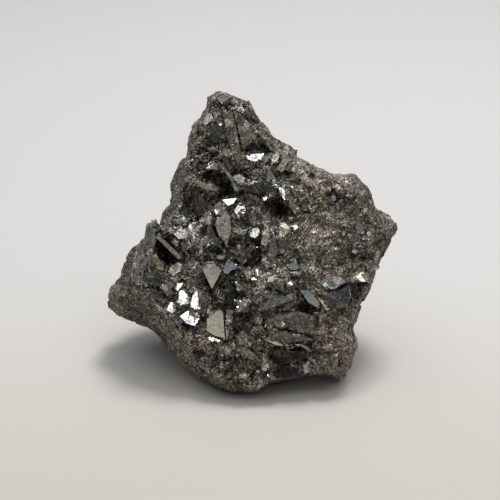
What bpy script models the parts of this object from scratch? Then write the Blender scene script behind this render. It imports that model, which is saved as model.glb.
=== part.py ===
"""Skutterudite specimen: one broken piece of ore with a face full of metallic crystals.

The stone is a single solid. Its crystal face leans back, so it is described in a frame of its own:
u runs across the face, v up along it and w straight out of it. Places on the face are read on a
square grid of fine steps, x to the right and y downwards, and heights are millimetres along w.
"""

import math
import random
from collections import namedtuple

import bmesh
import bpy
from mathutils import Euler, Matrix, Vector, noise
from mathutils.geometry import delaunay_2d_cdt

MM = 0.001
WELD = 0.000001                  # corners nearer than this, in metres, are one corner

# Driving dimensions.
STEP_MM = 0.23                  # one step of the grid; the face is 304 steps, 70 mm, from toe to tip
GRID_AXIS = (250, 250)          # the grid place that u = 0 and v = 0 run through
LEAN = math.radians(27)         # how far the crystal face leans back from upright
BASE_MM = 32.6                  # height of the face frame's origin above the flat base
TAPER_MM = 300.0                # the stone widens by this fraction of its depth behind the face
TAPER_LIMIT_MM = 9.0            # depth at which the widening ends

SURFACE_SPACING = 7.0           # steps between points on the face
BACK_SPACING = 15.0             # steps between points on the back
BACK_MARGIN = 44.0              # width of its curved edge, which has points of its own
EDGE_SPACING = 6.0              # steps between points along the outline
GRID_CORNER = (100, 88)         # where the grid of points begins, left of and above the outline
GRID_WIDTH = 310                # steps from there to beyond the outline's right edge
GRID_HEIGHT = 320               # steps from there to beyond its lower edge
SHAKE_RATE = 0.61               # how fast the shake changes from one point to the next
SHAKE_SHARE = 0.4               # how far a point is shaken, as a share of the spacing
SHAKE_LAYERS = (0.7, 50.7)      # layers of the noise that shake it across and down

# The widest outline of the stone, clockwise from its tip, in grid steps.
OUTLINE = [
    (220, 91.5), (232, 94), (240, 99), (249, 100.5), (254, 109), (260, 119), (265, 126), (274, 135),
    (286, 144), (291, 146.5), (297, 150), (297, 156), (309, 161), (318, 167), (330, 173.5), (350, 174),
    (356, 175), (362, 183), (367, 187), (377, 208), (388, 215), (396, 222), (397.5, 229), (390, 242),
    (384, 254), (380, 267), (374, 275), (370, 289), (364, 300), (358.5, 313), (354, 330), (358, 347),
    (353, 360), (351, 369), (339.5, 381), (330, 377), (312, 375), (296, 379), (280, 383), (267, 386),
    (257, 395), (238, 395), (222, 392), (207, 383), (194, 374), (179, 360), (166, 351), (160, 339),
    (151, 331), (130, 322.5), (116, 316), (107, 308), (106.5, 298), (109, 287), (119, 275), (122, 263),
    (133, 247), (147, 237), (147, 230), (155, 223), (160, 225), (163, 213), (170, 203), (171, 184),
    (178, 168), (188, 149), (188, 140), (191, 126), (200, 117), (206, 107), (208, 97), (212, 93.5),
]

# Where the crystal face ends and the broken sides of the stone begin, clockwise from the tip.
RIM = [
    (224, 95), (238, 101), (249, 106), (257, 121), (260, 135), (270, 147), (284, 159), (303, 170),
    (330, 178), (352, 178), (370, 202), (374, 214), (388, 230), (382, 248), (374, 263), (368, 284),
    (359, 302), (350, 322), (352, 346), (345, 368), (328, 371), (297, 374), (270, 379), (258, 388),
    (236, 387), (212, 377), (194, 360), (184, 342), (168, 314), (150, 296), (136, 288), (141, 270),
    (152, 262), (153, 244), (153, 232), (166, 226), (178, 213), (183, 187), (189, 160), (193, 133),
    (205, 116), (212, 98),
]

# Depth of the outline behind the face, in millimetres, by the direction from the grid's axis.
OUTLINE_DEPTHS = [
    (0, 8.0), (45, 7.0), (95, 8.0), (130, 9.0), (165, 9.0), (190, 13.0), (215, 14.0), (240, 9.0),
    (262, 6.5), (280, 9.0), (310, 9.0), (330, 7.0), (345, 6.5), (360, 8.0),
]

Mound = namedtuple("Mound", "x y across along turn height")
MOUNDS = [
    Mound(178, 237, 11, 9, 0, 0.9), Mound(199, 241, 11, 10, 0, 0.7), Mound(194, 205, 12, 13, 10, 0.6),
    Mound(332, 292, 12, 11, 0, 1.0), Mound(352, 296, 8, 14, -10, 0.9), Mound(250, 134, 9, 10, 0, 0.8),
    Mound(232, 138, 10, 34, 0, 1.6), Mound(213, 132, 12, 20, 0, 0.8), Mound(190, 238, 24, 14, -10, 1.6),
    Mound(285, 240, 12, 12, 0, 1.2), Mound(332, 294, 18, 14, 0, 1.4), Mound(268, 275, 24, 20, 0, 1.2),
    Mound(292, 326, 26, 14, 0, 1.5), Mound(240, 350, 18, 20, 0, 1.2), Mound(248, 382, 16, 10, 0, 1.4),
    Mound(335, 345, 20, 22, 0, 0.8), Mound(325, 215, 40, 34, 0, 0.8), Mound(355, 190, 16, 14, 0, 0.8),
    Mound(165, 298, 18, 12, 30, 0.8), Mound(205, 370, 16, 10, -30, 0.8),
]

# Dark hollows between the crystals: flat-bottomed, with steep walls.
HOLLOWS = [
    Mound(213, 176, 13, 8, 0, 4.0), Mound(228, 188, 10, 10, -30, 4.5), Mound(167, 253, 13, 8, 40, 4.5),
    Mound(158, 232, 8, 4, -35, 2.5), Mound(193, 204, 13, 14, 0, 2.2), Mound(214, 201, 9, 9, 0, 3.2),
    Mound(277, 209, 14, 11, 0, 4.2), Mound(245, 219, 6, 8, 0, 3.0), Mound(254, 256, 6, 14, -30, 3.4),
    Mound(222, 292, 14, 15, 0, 2.2), Mound(233, 243, 7, 10, 0, 2.0), Mound(246, 321, 6, 13, 0, 2.8),
    Mound(308, 307, 12, 5, -20, 3.2), Mound(289, 354, 21, 8, -5, 2.8), Mound(285, 372, 11, 6, 0, 1.8),
    Mound(361, 286, 8, 7, -30, 2.2), Mound(132, 313, 9, 4, -25, 2.6), Mound(228, 105, 7, 4, 0, 2.0),
    Mound(256, 118, 5, 4, 0, 1.4), Mound(258, 148, 11, 5, 0, 2.8), Mound(286, 175, 8, 4, 0, 1.8),
    Mound(184, 306, 6, 4, 0, 2.0), Mound(360, 259, 13, 4, 0, 1.4), Mound(192, 330, 9, 5, 0, 1.6),
    Mound(297, 276, 7, 4, 0, 1.6),
]

# Named crystal faces: the corners of each, how far its middle stands out of the stone around it,
# and how many degrees it is turned to the right and upwards from facing straight out.
Face = namedtuple("Face", "name corners rise right up")
CRYSTAL_FACES = [
    Face("tip", [(216, 97), (224, 93), (230, 96), (222, 103)], 1.7, 6, 24),
    Face("tip_side", [(202, 122), (206, 113), (211, 112), (213, 118), (206, 124)], 0.6, -22, 24),
    Face("upper_pane", [(207, 127), (216, 120), (222, 124), (221, 141), (211, 144)], 0.4, -14, -6),
    Face("pillar_left", [(223, 115), (231, 109), (236, 126), (241, 158), (238, 166), (229, 141)],
         1.0, -20, 4),
    Face("pillar_right", [(233, 110), (240, 113), (257, 131), (252, 141), (243, 149), (238, 127)],
         1.0, 18, 5),
    Face("window", [(245, 158), (249, 154), (264, 153), (262, 158), (253, 161)], 0.9, 9, 20),
    Face("brow", [(188, 166), (195, 156), (209, 149), (219, 148), (211, 153), (199, 160), (192, 169)],
         0.9, -10, 8),
    Face("lintel", [(206, 168), (212, 163), (219, 164), (223, 170)], 0.9, 6, 13),
    Face("arc", [(221, 167), (225, 168), (234, 179), (239, 187), (238, 193), (235, 191), (231, 181)], 1.5, 8, -18),
    Face("ledge", [(195, 178), (206, 184), (219, 187), (217, 191), (204, 189), (194, 183)], 1.1, -4, -18),
    Face("tan_band", [(230, 175), (238, 173), (247, 177), (248, 183), (240, 184), (233, 180)], 1.0, 5, 14),
    Face("blue_band", [(239, 188), (245, 184), (262, 181), (273, 185), (276, 195), (258, 194)], 0.7, -4, -8),
    Face("star_top", [(222, 200), (237, 198), (233, 204), (228, 206)], 1.9, 10, 20),
    Face("star_left", [(214, 206), (219, 202), (225, 205), (221, 208), (216, 209)], 1.0, -10, 8),
    Face("star_foot", [(213, 210), (221, 208), (219, 215), (215, 215)], 2.0, 8, 18),
    Face("tall_kite", [(224, 208), (230, 217), (231, 230), (226, 250), (220, 238), (215, 225), (218, 217)],
         1.7, 8, -15),
    Face("tall_shade", [(207, 224), (211, 225), (217, 238), (223, 250), (214, 244), (208, 234)], 0.9, -28, -2),
    Face("eye", [(234, 211), (238, 205), (244, 205), (246, 210), (243, 215), (238, 217)], 1.4, 12, 17),
    Face("cream", [(201, 222), (204, 215), (211, 212), (213, 217), (212, 224), (206, 225)], 0.9, -14, 10),
    Face("spur_left", [(147, 236), (148, 229), (153, 226), (157, 236), (154, 246)], 1.8, -28, 2),
    Face("spur_top", [(155, 226), (163, 233), (164, 238), (158, 235)], 1.9, 16, 6),
    Face("spur_strip", [(156, 237), (160, 236), (183, 258), (179, 260)], 1.6, -6, -18),
    Face("pebble", [(168, 272), (171, 266), (178, 262), (182, 265), (180, 271), (173, 276)], 0.9, 4, -18),
    Face("wing_high", [(140, 277), (146, 270), (157, 271), (164, 279), (158, 287), (147, 287)], 0.8, -12, 4),
    Face("wing_low", [(160, 288), (165, 281), (175, 286), (177, 293), (166, 297)], 0.9, 4, 14),
    Face("wing_tail", [(146, 292), (160, 290), (172, 295), (166, 303), (156, 300)], 0.5, -8, -2),
    Face("mirror_a", [(177, 301), (178, 292), (182, 289), (187, 295), (189, 303), (181, 305)], 1.4, 11, 20),
    Face("mirror_b", [(191, 303), (193, 295), (197, 291), (199, 301), (199, 310), (191, 308)], 1.6, 12, 21),
    Face("mirror_c", [(180, 316), (189, 310), (199, 312), (200, 319), (196, 326), (187, 323)], 1.6, 11, 20),
    Face("mirror_d", [(173, 290), (177, 283), (183, 281), (183, 287), (178, 291)], 1.0, 9, 21),
    Face("mirror_e", [(167, 310), (170, 302), (175, 303), (176, 310), (172, 313)], 1.0, 12, 18),
    Face("kite", [(202, 268), (208, 264), (216, 264), (222, 270), (212, 289)], 1.6, -3, -19),
    Face("blue_kite", [(223, 269), (229, 259), (237, 266), (231, 273), (225, 274)], 1.4, 10, -17),
    Face("pyramid_left", [(213, 290), (222, 276), (223, 300), (213, 303)], 1.0, -26, 0),
    Face("pyramid_right", [(223, 276), (230, 278), (238, 293), (234, 302), (223, 300)], 1.0, 24, 0),
    Face("chip", [(216, 292), (221, 286), (222, 291), (219, 297)], 1.6, -6, -18),
    Face("shelf_chip", [(232, 279), (240, 281), (244, 290), (238, 291)], 0.9, 10, 4),
    Face("big_pane", [(205, 331), (207, 319), (219, 309), (223, 312), (225, 340), (214, 337)], 1.6, 2, -19),
    Face("thin_pane", [(226, 326), (229, 327), (228, 340), (226, 340)], 1.3, 6, -17),
    Face("glint", [(208, 335), (213, 337), (220, 340), (220, 343), (213, 342), (209, 339)], 1.5, 9, 20),
    Face("centre_pane", [(260, 243), (262, 234), (266, 230), (270, 231), (270, 240), (267, 250)],
         1.9, -4, -17),
    Face("centre_wedge", [(272, 232), (275, 240), (277, 252), (271, 260), (268, 252)], 1.3, 24, -4),
    Face("round_top", [(277, 229), (284, 222), (290, 228), (291, 236), (281, 236)], 1.0, 6, 15),
    Face("round_foot", [(278, 238), (291, 239), (292, 247), (286, 253), (279, 250)], 1.0, 6, -6),
    Face("spark", [(291, 226), (297, 224), (298, 228), (294, 231)], 1.2, 10, 19),
    Face("cracked", [(248, 231), (253, 228), (259, 228), (260, 234), (255, 238), (249, 236)], 1.2, 7, 15),
    Face("ridge_high", [(262, 161), (268, 166), (278, 182), (276, 188), (269, 178)], 1.2, -18, 6),
    Face("ridge_low", [(285, 197), (289, 195), (294, 203), (299, 212), (295, 214), (289, 206)], 1.2, 14, 6),
    Face("slab", [(275, 171), (283, 159), (290, 162), (287, 168), (280, 173)], 1.4, 4, -17),
    Face("lump", [(269, 158), (275, 151), (281, 154), (279, 163), (272, 165)], 1.2, 14, 12),
    Face("blue_chip", [(286, 264), (294, 261), (300, 266), (299, 270), (290, 270)], 1.1, 4, -17),
    Face("crumb", [(244, 272), (249, 269), (252, 276), (247, 280)], 0.9, -6, -17),
    Face("striped_ridge", [(256, 309), (270, 301), (290, 294), (294, 299), (276, 306), (262, 311)],
         1.1, -4, 10),
    Face("blue_blade", [(300, 290), (308, 290), (320, 303), (318, 308), (308, 302)], 1.5, 12, -18),
    Face("pale_lip", [(318, 298), (322, 299), (330, 309), (326, 310)], 0.9, 8, -17),
    Face("tan_cap", [(352, 279), (357, 274), (364, 272), (370, 275), (368, 281), (360, 282)], 1.5, 10, 16),
    Face("shelf_high", [(270, 319), (277, 314), (299, 311), (312, 315), (314, 333), (303, 334), (268, 325)],
         1.0, -2, -3),
    Face("shelf_low", [(267, 325), (303, 334), (310, 339), (290, 342), (271, 341)], 0.9, -4, -10),
    Face("rim_left", [(263, 339), (266, 338), (278, 342), (291, 344), (291, 346), (276, 345)], 1.0, 2, -17),
    Face("rim_right", [(293, 344), (302, 344), (312, 350), (311, 352), (301, 346), (293, 346)], 1.0, 2, -17),
    Face("under_shelf", [(270, 349), (306, 352), (309, 357), (300, 362), (285, 363), (274, 357)], 0.4, 4, -6),
    Face("low_dark", [(275, 366), (290, 366), (300, 368), (293, 377), (279, 379)], 0.5, 2, -3),
    Face("low_grey", [(303, 363), (310, 361), (312, 371), (304, 374)], 0.8, 8, 6),
    Face("low_tan", [(262, 353), (267, 356), (270, 367), (264, 372), (260, 366)], 0.9, -10, 9),
    Face("streak", [(267, 374), (272, 375), (277, 379), (273, 380), (268, 377)], 1.4, 8, 19),
    Face("lump_light", [(174, 234), (178, 229), (185, 228), (189, 233), (187, 238), (179, 239)], 0.6, -2, 15),
    Face("flash", [(279, 187), (283, 186), (287, 194), (285, 201), (281, 195)], 1.3, 10, 20),
    Face("flake", [(262, 197), (267, 195), (267, 199), (264, 201)], 1.0, 9, 20),
    Face("dark_blade", [(193, 193), (198, 188), (203, 196), (206, 208), (203, 215), (195, 218), (191, 206)],
         -0.7, 10, -4),
    Face("cream_low", [(215, 259), (219, 254), (226, 253), (227, 257), (221, 261)], 1.1, -4, -17),
    Face("grey_prism", [(239, 262), (243, 252), (251, 245), (254, 247), (249, 255), (243, 265)],
         0.6, -20, -2),
    Face("black_prism", [(246, 264), (252, 254), (257, 246), (262, 250), (258, 258), (251, 268)],
         0.1, -16, 4),
    Face("wedge", [(231, 231), (237, 229), (247, 233), (244, 237), (236, 235)], 1.1, 4, -17),
    Face("chip_glint", [(291, 272), (299, 271), (299, 275), (293, 275)], 1.0, 10, 20),
    Face("crumb_light", [(286, 283), (290, 281), (293, 284), (289, 287)], 1.1, 9, 18),
    Face("dome_high", [(320, 284), (327, 276), (340, 276), (345, 282), (335, 288), (323, 290)], 0.8, -4, 13),
    Face("dome_low", [(323, 294), (337, 291), (347, 286), (350, 296), (345, 306), (334, 308), (325, 303)],
         0.8, 6, -8),
    Face("dome_side", [(349, 285), (354, 282), (358, 290), (356, 299), (352, 304), (352, 294)], 0.2, 26, -2),
    Face("block", [(321, 258), (330, 256), (333, 261), (331, 267), (323, 267)], 1.0, 6, -12),
    Face("pit_side", [(151, 256), (156, 254), (163, 266), (162, 271), (155, 268)], 0.9, -6, -16),
    Face("brown_head", [(235, 336), (243, 330), (250, 337), (248, 345), (238, 344)], 1.0, 2, -17),
    Face("brown_body", [(239, 346), (248, 347), (257, 356), (249, 359), (241, 353)], 0.8, -12, -4),
]
ROOT_MM = 5.0                   # how deep a crystal is rooted below its face
ROOT_SPLAY_MM = 1.7             # how much further out its sides stand at the root
ROOT_FLARE_MOST = 2.0           # the most a small crystal's root is wider than its face
BED_MM = 0.7                    # how far the stone around a crystal stays below its face
BED_MARGIN = 4.0                # width of that bed around the face, in steps

# Smaller crystals that fill the gaps between the named ones.
FILLER_COUNT = 70
FILLER_RADII_MM = (1.1, 2.3)
FILLER_CLEARANCE = 0.8          # its distance from a named crystal, as a share of its radius
FILLER_FROM_RIM = 8              # steps between a filler's middle and the rim of the face
FILLER_SEED = 13
FILLER_ZONES = [
    (215, 140, 30, 45), (245, 200, 45, 45), (205, 260, 55, 40), (215, 330, 45, 45), (300, 290, 60, 30),
    (275, 350, 45, 28), (350, 190, 22, 14), (345, 360, 18, 12),
]

# Breaks that shape the back, in millimetres: depth at the grid's axis, and its rise to the right and upwards.
Break = namedtuple("Break", "depth right up")
BACK_BREAKS = [
    Break(-29.0, 0.05, 0.10), Break(-35.0, 0.48, 0.05), Break(-37.0, -0.50, 0.12), Break(-33.0, 0.08, 0.52),
    Break(-40.0, 0.30, -0.45),
]
BACK_THICKNESS_MM = (18.0, 30.0)   # behind the outline, at the tip and at the toe
BACK_SHOULDER_MM = 15.0            # width over which the back curves in from the outline
BACK_RINGS = [(20, 2), (40, 2), (62, 3)]   # degrees round that curve, and which outline points are used
FACE_CHIPS = [(16.0, 0.4, 0.8), (7.0, 0.2, 0.4)]    # size in grid steps, step and slope of the chips
BACK_CHIPS = [(9.0, 0.8, 1.7), (4.0, 0.3, 0.6)]   # size, step and slope of the chips, in millimetres


def to_face(x, y, height=0.0):
    """Grid place to (u, v) in millimetres at a height on the face."""
    spread = STEP_MM * (1 - max(height, -TAPER_LIMIT_MM) / TAPER_MM)
    return (x - GRID_AXIS[0]) * spread, (GRID_AXIS[1] - y) * spread


def smooth(t):
    """Smooth step from 0 to 1."""
    t = max(0.0, min(1.0, t))
    return t * t * (3 - 2 * t)


def inside(x, y, corners):
    """Whether a grid place lies inside a closed line of corners."""
    found = False
    for (xa, ya), (xb, yb) in zip(corners, corners[1:] + corners[:1]):
        if (ya > y) != (yb > y) and x < (xb - xa) * (y - ya) / (yb - ya) + xa:
            found = not found
    return found


def distance_to(x, y, corners):
    """Shortest distance, in steps, from a grid place to a closed line of corners."""
    shortest = math.inf
    for (xa, ya), (xb, yb) in zip(corners, corners[1:] + corners[:1]):
        dx, dy = xb - xa, yb - ya
        share = ((x - xa) * dx + (y - ya) * dy) / (dx * dx + dy * dy)
        share = max(0.0, min(1.0, share))
        shortest = min(shortest, math.hypot(x - xa - share * dx, y - ya - share * dy))
    return shortest


def reach_of(mound, x, y):
    """Distance from a mound's middle as a share of its half widths."""
    turn = math.radians(mound.turn)
    dx, dy = x - mound.x, y - mound.y
    along = -dx * math.sin(turn) + dy * math.cos(turn)
    across = dx * math.cos(turn) + dy * math.sin(turn)
    return math.hypot(across / mound.across, along / mound.along)


def broken(point, cell, step, tilt):
    """Height of a surface broken into flat chips: each cell has its own level and its own slope."""
    scaled = point / cell
    centre = noise.voronoi(scaled)[1][0]
    chance = noise.cell_vector(centre * 37.0) * 2 - Vector((1, 1, 1))
    return step * chance.x + tilt * (scaled - centre).dot(chance)


def swell(x, y):
    """Height of the crystal face without hollows, chips or crystals."""
    height = -3.0 * ((x - 262) / 120) ** 2 - 3.5 * ((y - 290) / 190) ** 2
    for mound in MOUNDS:
        height += mound.height * smooth(1.5 - reach_of(mound, x, y))
    return height


def face_height(x, y):
    """Height of the crystal face before its crystals, in millimetres."""
    hollow = 0.0
    for dip in HOLLOWS:
        hollow = max(hollow, dip.height * smooth(2.4 - 2 * reach_of(dip, x, y)))
    chips = sum(broken(Vector((x, y, cell)), cell, step, slope) for cell, step, slope in FACE_CHIPS)
    return swell(x, y) - hollow + chips


def outline_depth(x, y):
    """Height of the outline, which lies behind the face, in the direction of a grid place."""
    angle = math.degrees(math.atan2(GRID_AXIS[1] - y, x - GRID_AXIS[0])) % 360
    for (a, low), (b, high) in zip(OUTLINE_DEPTHS, OUTLINE_DEPTHS[1:]):
        if a <= angle <= b:
            return -(low + (high - low) * smooth((angle - a) / (b - a)))
    return -OUTLINE_DEPTHS[0][1]


def face_plane(face):
    """Middle of a crystal face in grid steps, its height there and its two slopes."""
    x = sum(c[0] for c in face.corners) / len(face.corners)
    y = sum(c[1] for c in face.corners) / len(face.corners)
    slopes = (math.tan(math.radians(face.right)), math.tan(math.radians(face.up)))
    return x, y, swell(x, y) + face.rise, slopes


def plane_height(plane, x, y):
    """Height of a crystal face's plane over a grid place: facing right, it falls to the right."""
    px, py, height, (right, up) = plane
    return height - right * (x - px) * STEP_MM + up * (y - py) * STEP_MM


def front_height(x, y):
    """Height of the stone's front, sides included, with a bed for each crystal."""
    height = face_height(x, y)
    for face in CRYSTAL_FACES:
        if inside(x, y, face.corners) or distance_to(x, y, face.corners) < BED_MARGIN:
            height = min(height, plane_height(face_plane(face), x, y) - BED_MM)
    if not inside(x, y, RIM):
        to_rim, to_outline = distance_to(x, y, RIM), distance_to(x, y, OUTLINE)
        share = to_rim / max(to_rim + to_outline, 1e-6)
        height += (outline_depth(x, y) - height) * share
        height += broken(Vector((x, y, 21.0)), 11.0, 0.25, 0.5)
    return height


def back_height(x, y):
    """Height of the stone's back: curved in from the outline, then cut by its breaks."""
    u, v = to_face(x, y)
    reach = min(distance_to(x, y, OUTLINE) * STEP_MM / BACK_SHOULDER_MM, 1.0)
    tip, toe = BACK_THICKNESS_MM
    thickness = tip + (toe - tip) * smooth((y - 110) / 250)
    height = outline_depth(x, y) - thickness * math.sqrt(1 - (1 - reach) ** 2)
    for cut in BACK_BREAKS:
        height = max(height, cut.depth + cut.right * u + cut.up * v)
    return height


def outline_points():
    """The outline with its long stretches divided and roughened."""
    points = []
    for (xa, ya), (xb, yb) in zip(OUTLINE, OUTLINE[1:] + OUTLINE[:1]):
        length = math.hypot(xb - xa, yb - ya)
        count = max(1, round(length / EDGE_SPACING))
        for i in range(count):
            x, y = xa + (xb - xa) * i / count, ya + (yb - ya) * i / count
            rough = noise.noise(Vector((x, y, 5.0)) * 0.23) * 1.3 if i else 0.0
            points.append((x + rough * (yb - ya) / length, y - rough * (xb - xa) / length))
    return points


def grid_points(spacing, margin):
    """Points on a shaken triangular grid, inside the outline by at least a margin."""
    points = []
    row_height = spacing * math.sqrt(3) / 2
    for row in range(int(GRID_HEIGHT / row_height)):
        for column in range(int(GRID_WIDTH / spacing) + 1):
            x = GRID_CORNER[0] + (column + 0.5 * (row % 2)) * spacing
            y = GRID_CORNER[1] + row * row_height
            shakes = [noise.noise(Vector((x, y, layer)) * SHAKE_RATE) for layer in SHAKE_LAYERS]
            x += shakes[0] * spacing * SHAKE_SHARE
            y += shakes[1] * spacing * SHAKE_SHARE
            if inside(x, y, OUTLINE) and distance_to(x, y, OUTLINE) > margin:
                points.append((x, y))
    return points


def inset_points(ring, degrees, every):
    """Points of the outline moved in towards the grid's axis, round the curve of the back."""
    points = []
    distance = BACK_SHOULDER_MM * (1 - math.cos(math.radians(degrees))) / STEP_MM
    for x, y in ring[::every]:
        away = Vector((x - GRID_AXIS[0], y - GRID_AXIS[1]))
        place = away * (1 - distance / away.length)
        x, y = place.x + GRID_AXIS[0], place.y + GRID_AXIS[1]
        if inside(x, y, OUTLINE) and distance_to(x, y, OUTLINE) > 0.6 * distance:
            points.append((x, y))
    return points


def filled(ring, places, lines):
    """Triangles over the outline: places, triangles and where each place came from.

    No triangle's side may join two places of the outline across the stone, or front and back would
    meet there, so every such side gets a place of its own at its middle.
    """
    while True:
        flat = [Vector(place) for place in ring + places]
        flat, _, faces, sources, _, _ = delaunay_2d_cdt(flat, lines, [list(range(len(ring)))], 1, 1e-4)
        spot = [source[0] if source else len(ring) for source in sources]
        middles = {}
        for face in faces:
            for a, b in zip(face, face[1:] + face[:1]):
                apart = abs(spot[a] - spot[b])
                if max(spot[a], spot[b]) < len(ring) and apart not in (1, len(ring) - 1):
                    middles[min(a, b), max(a, b)] = tuple((flat[a] + flat[b]) / 2)
        if not middles:
            return flat, faces, spot
        places = places + list(middles.values())


def add_shell(mesh, ring_corners, ring, places, height_of, lines=()):
    """Adds one side of the stone, front or back, to the mesh that holds the shared outline."""
    flat, faces, spot = filled(ring, places, list(lines))
    corners = []
    for place, number in zip(flat, spot):
        if number < len(ring):
            corners.append(ring_corners[number])
            continue
        height = height_of(*place)
        corners.append(mesh.verts.new((*to_face(*place, height), height)))
    for face in faces:
        mesh.faces.new([corners[i] for i in face])


def chip(corners):
    """Breaks a stretch of the surface into chips, moving its corners in and out along its normals."""
    moves = []
    for corner in corners:
        amount = sum(broken(corner.co, cell, step, slope) for cell, step, slope in BACK_CHIPS)
        moves.append(corner.normal * amount)
    for corner, move in zip(corners, moves):
        corner.co += move


def stone_mesh():
    """The stone without its crystals, as a closed mesh in the face frame, in millimetres."""
    ring = outline_points()
    mesh = bmesh.new()
    ring_corners = []
    for x, y in ring:
        depth = outline_depth(x, y)
        ring_corners.append(mesh.verts.new((*to_face(x, y, depth), depth)))
    front = [p for p in grid_points(SURFACE_SPACING, 4.0) if distance_to(*p, RIM) > 2.5]
    first = len(ring) + len(front)
    rim_lines = [(first + i, first + (i + 1) % len(RIM)) for i in range(len(RIM))]
    add_shell(mesh, ring_corners, ring, front + RIM, front_height, rim_lines)
    back = grid_points(BACK_SPACING, BACK_MARGIN)
    for degrees, every in BACK_RINGS:
        back += inset_points(ring, degrees, every)
    front_corners = len(mesh.verts)
    add_shell(mesh, ring_corners, ring, back, back_height)
    bmesh.ops.recalc_face_normals(mesh, faces=mesh.faces)
    mesh.verts.ensure_lookup_table()
    chip(mesh.verts[front_corners:])
    return mesh


def crystal_mesh(face):
    """A crystal with a flat outer face, rooted in the stone and flared towards its root."""
    plane = face_plane(face)
    mesh = bmesh.new()
    top = []
    for x, y in face.corners:
        top.append(mesh.verts.new((*to_face(x, y), plane_height(plane, x, y))))
    lid = mesh.faces.new(top)
    middle = lid.calc_center_median()
    radius = sum((corner.co - middle).length for corner in top) / len(top)
    flare = min(1 + ROOT_SPLAY_MM / radius, ROOT_FLARE_MOST)
    grown = bmesh.ops.extrude_face_region(mesh, geom=[lid], use_keep_orig=True)["geom"]
    for corner in [g for g in grown if isinstance(g, bmesh.types.BMVert)]:
        corner.co = middle + (corner.co - middle) * flare - Vector((0, 0, ROOT_MM))
    bmesh.ops.recalc_face_normals(mesh, faces=mesh.faces)
    return mesh


def filler_mesh(radius, rng):
    """A small eight-sided crystal, drawn out a little in each direction and turned at random."""
    mesh = bmesh.new()
    bmesh.ops.create_uvsphere(mesh, u_segments=4, v_segments=2, radius=radius)
    stretch = Vector([rng.uniform(0.75, 1.25) for _ in range(3)])
    turn = Euler([rng.uniform(0, math.tau) for _ in range(3)])
    bmesh.ops.scale(mesh, verts=mesh.verts, vec=stretch)
    mesh.transform(turn.to_matrix().to_4x4())
    return mesh


def filler_crystals():
    """The smaller crystals, each at a free place on the face and about half sunk in the stone."""
    rng = random.Random(FILLER_SEED)
    meshes = []
    while len(meshes) < FILLER_COUNT:
        zone = rng.choice(FILLER_ZONES)
        x = zone[0] + rng.uniform(-1, 1) * zone[2]
        y = zone[1] + rng.uniform(-1, 1) * zone[3]
        radius = rng.uniform(*FILLER_RADII_MM)
        clear = FILLER_CLEARANCE * radius / STEP_MM
        taken = any(inside(x, y, f.corners) or distance_to(x, y, f.corners) < clear for f in CRYSTAL_FACES)
        if taken or not inside(x, y, RIM) or distance_to(x, y, RIM) < FILLER_FROM_RIM:
            continue
        mesh = filler_mesh(radius, rng)
        place = Vector((*to_face(x, y), face_height(x, y) - 0.2 * radius))
        bmesh.ops.translate(mesh, verts=mesh.verts, vec=place)
        meshes.append(mesh)
    return meshes


def face_to_world():
    """Matrix from the face frame in millimetres to the leaning stone in metres, base at z = 0."""
    lean = Matrix.Rotation(math.radians(90) - LEAN, 4, 'X')
    lift = Matrix.Translation((0, 0, BASE_MM * MM))
    return lift @ lean @ Matrix.Scale(MM, 4)


def add_object(name, mesh, collection):
    """Makes an object from a bmesh in the face frame, in a collection."""
    mesh.transform(face_to_world())
    data = bpy.data.meshes.new(name)
    mesh.to_mesh(data)
    mesh.free()
    obj = bpy.data.objects.new(name, data)
    collection.objects.link(obj)
    return obj


def add_boolean(obj, name, operation, **operand):
    """Adds a Boolean modifier whose operand is an object or a collection."""
    modifier = obj.modifiers.new(name, 'BOOLEAN')
    modifier.operation = operation
    modifier.solver = 'EXACT'
    modifier.operand_type = 'COLLECTION' if "collection" in operand else 'OBJECT'
    for key, value in operand.items():
        setattr(modifier, key, value)
    return modifier


def new_collection(name):
    """A new collection in the scene."""
    collection = bpy.data.collections.new(name)
    bpy.context.scene.collection.children.link(collection)
    return collection


def hide_helper(obj):
    """Shows a helper as wire and keeps it out of renders."""
    obj.hide_render = True
    obj.display_type = 'WIRE'


def ore_material():
    """Steel-grey metallic ore."""
    material = bpy.data.materials.new("steel_grey_ore")
    material.use_nodes = True
    shader = material.node_tree.nodes["Principled BSDF"]
    shader.inputs["Base Color"].default_value = (0.16, 0.15, 0.14, 1.0)
    shader.inputs["Metallic"].default_value = 0.6
    shader.inputs["Roughness"].default_value = 0.42
    return material


def fill_pockets(mesh):
    """Keeps the outer surface only: pockets sealed in between crystals are filled with stone."""
    left = set(mesh.verts)
    shells = []
    while left:
        shell = {left.pop()}
        edge_of_shell = list(shell)
        while edge_of_shell:
            for edge in edge_of_shell.pop().link_edges:
                for corner in edge.verts:
                    if corner not in shell:
                        shell.add(corner)
                        edge_of_shell.append(corner)
        left -= shell
        shells.append(shell)
    shells.sort(key=len)
    for shell in shells[:-1]:
        bmesh.ops.delete(mesh, geom=list(shell), context='VERTS')


def settled_mesh(obj):
    """The stone after its modifiers, cleaned, in triangles, its box centred over the origin."""
    shaped = obj.evaluated_get(bpy.context.evaluated_depsgraph_get())
    data = bpy.data.meshes.new_from_object(shaped)
    mesh = bmesh.new()
    mesh.from_mesh(data)
    bmesh.ops.remove_doubles(mesh, verts=mesh.verts, dist=WELD)
    bmesh.ops.dissolve_degenerate(mesh, dist=WELD, edges=mesh.edges)
    fill_pockets(mesh)
    bmesh.ops.triangulate(mesh, faces=mesh.faces)
    low = [min(v.co[i] for v in mesh.verts) for i in range(3)]
    high = [max(v.co[i] for v in mesh.verts) for i in range(3)]
    middle = Vector(((low[0] + high[0]) / 2, (low[1] + high[1]) / 2, low[2]))
    bmesh.ops.translate(mesh, verts=mesh.verts, vec=-middle)
    mesh.to_mesh(data)
    mesh.free()
    return data


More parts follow.
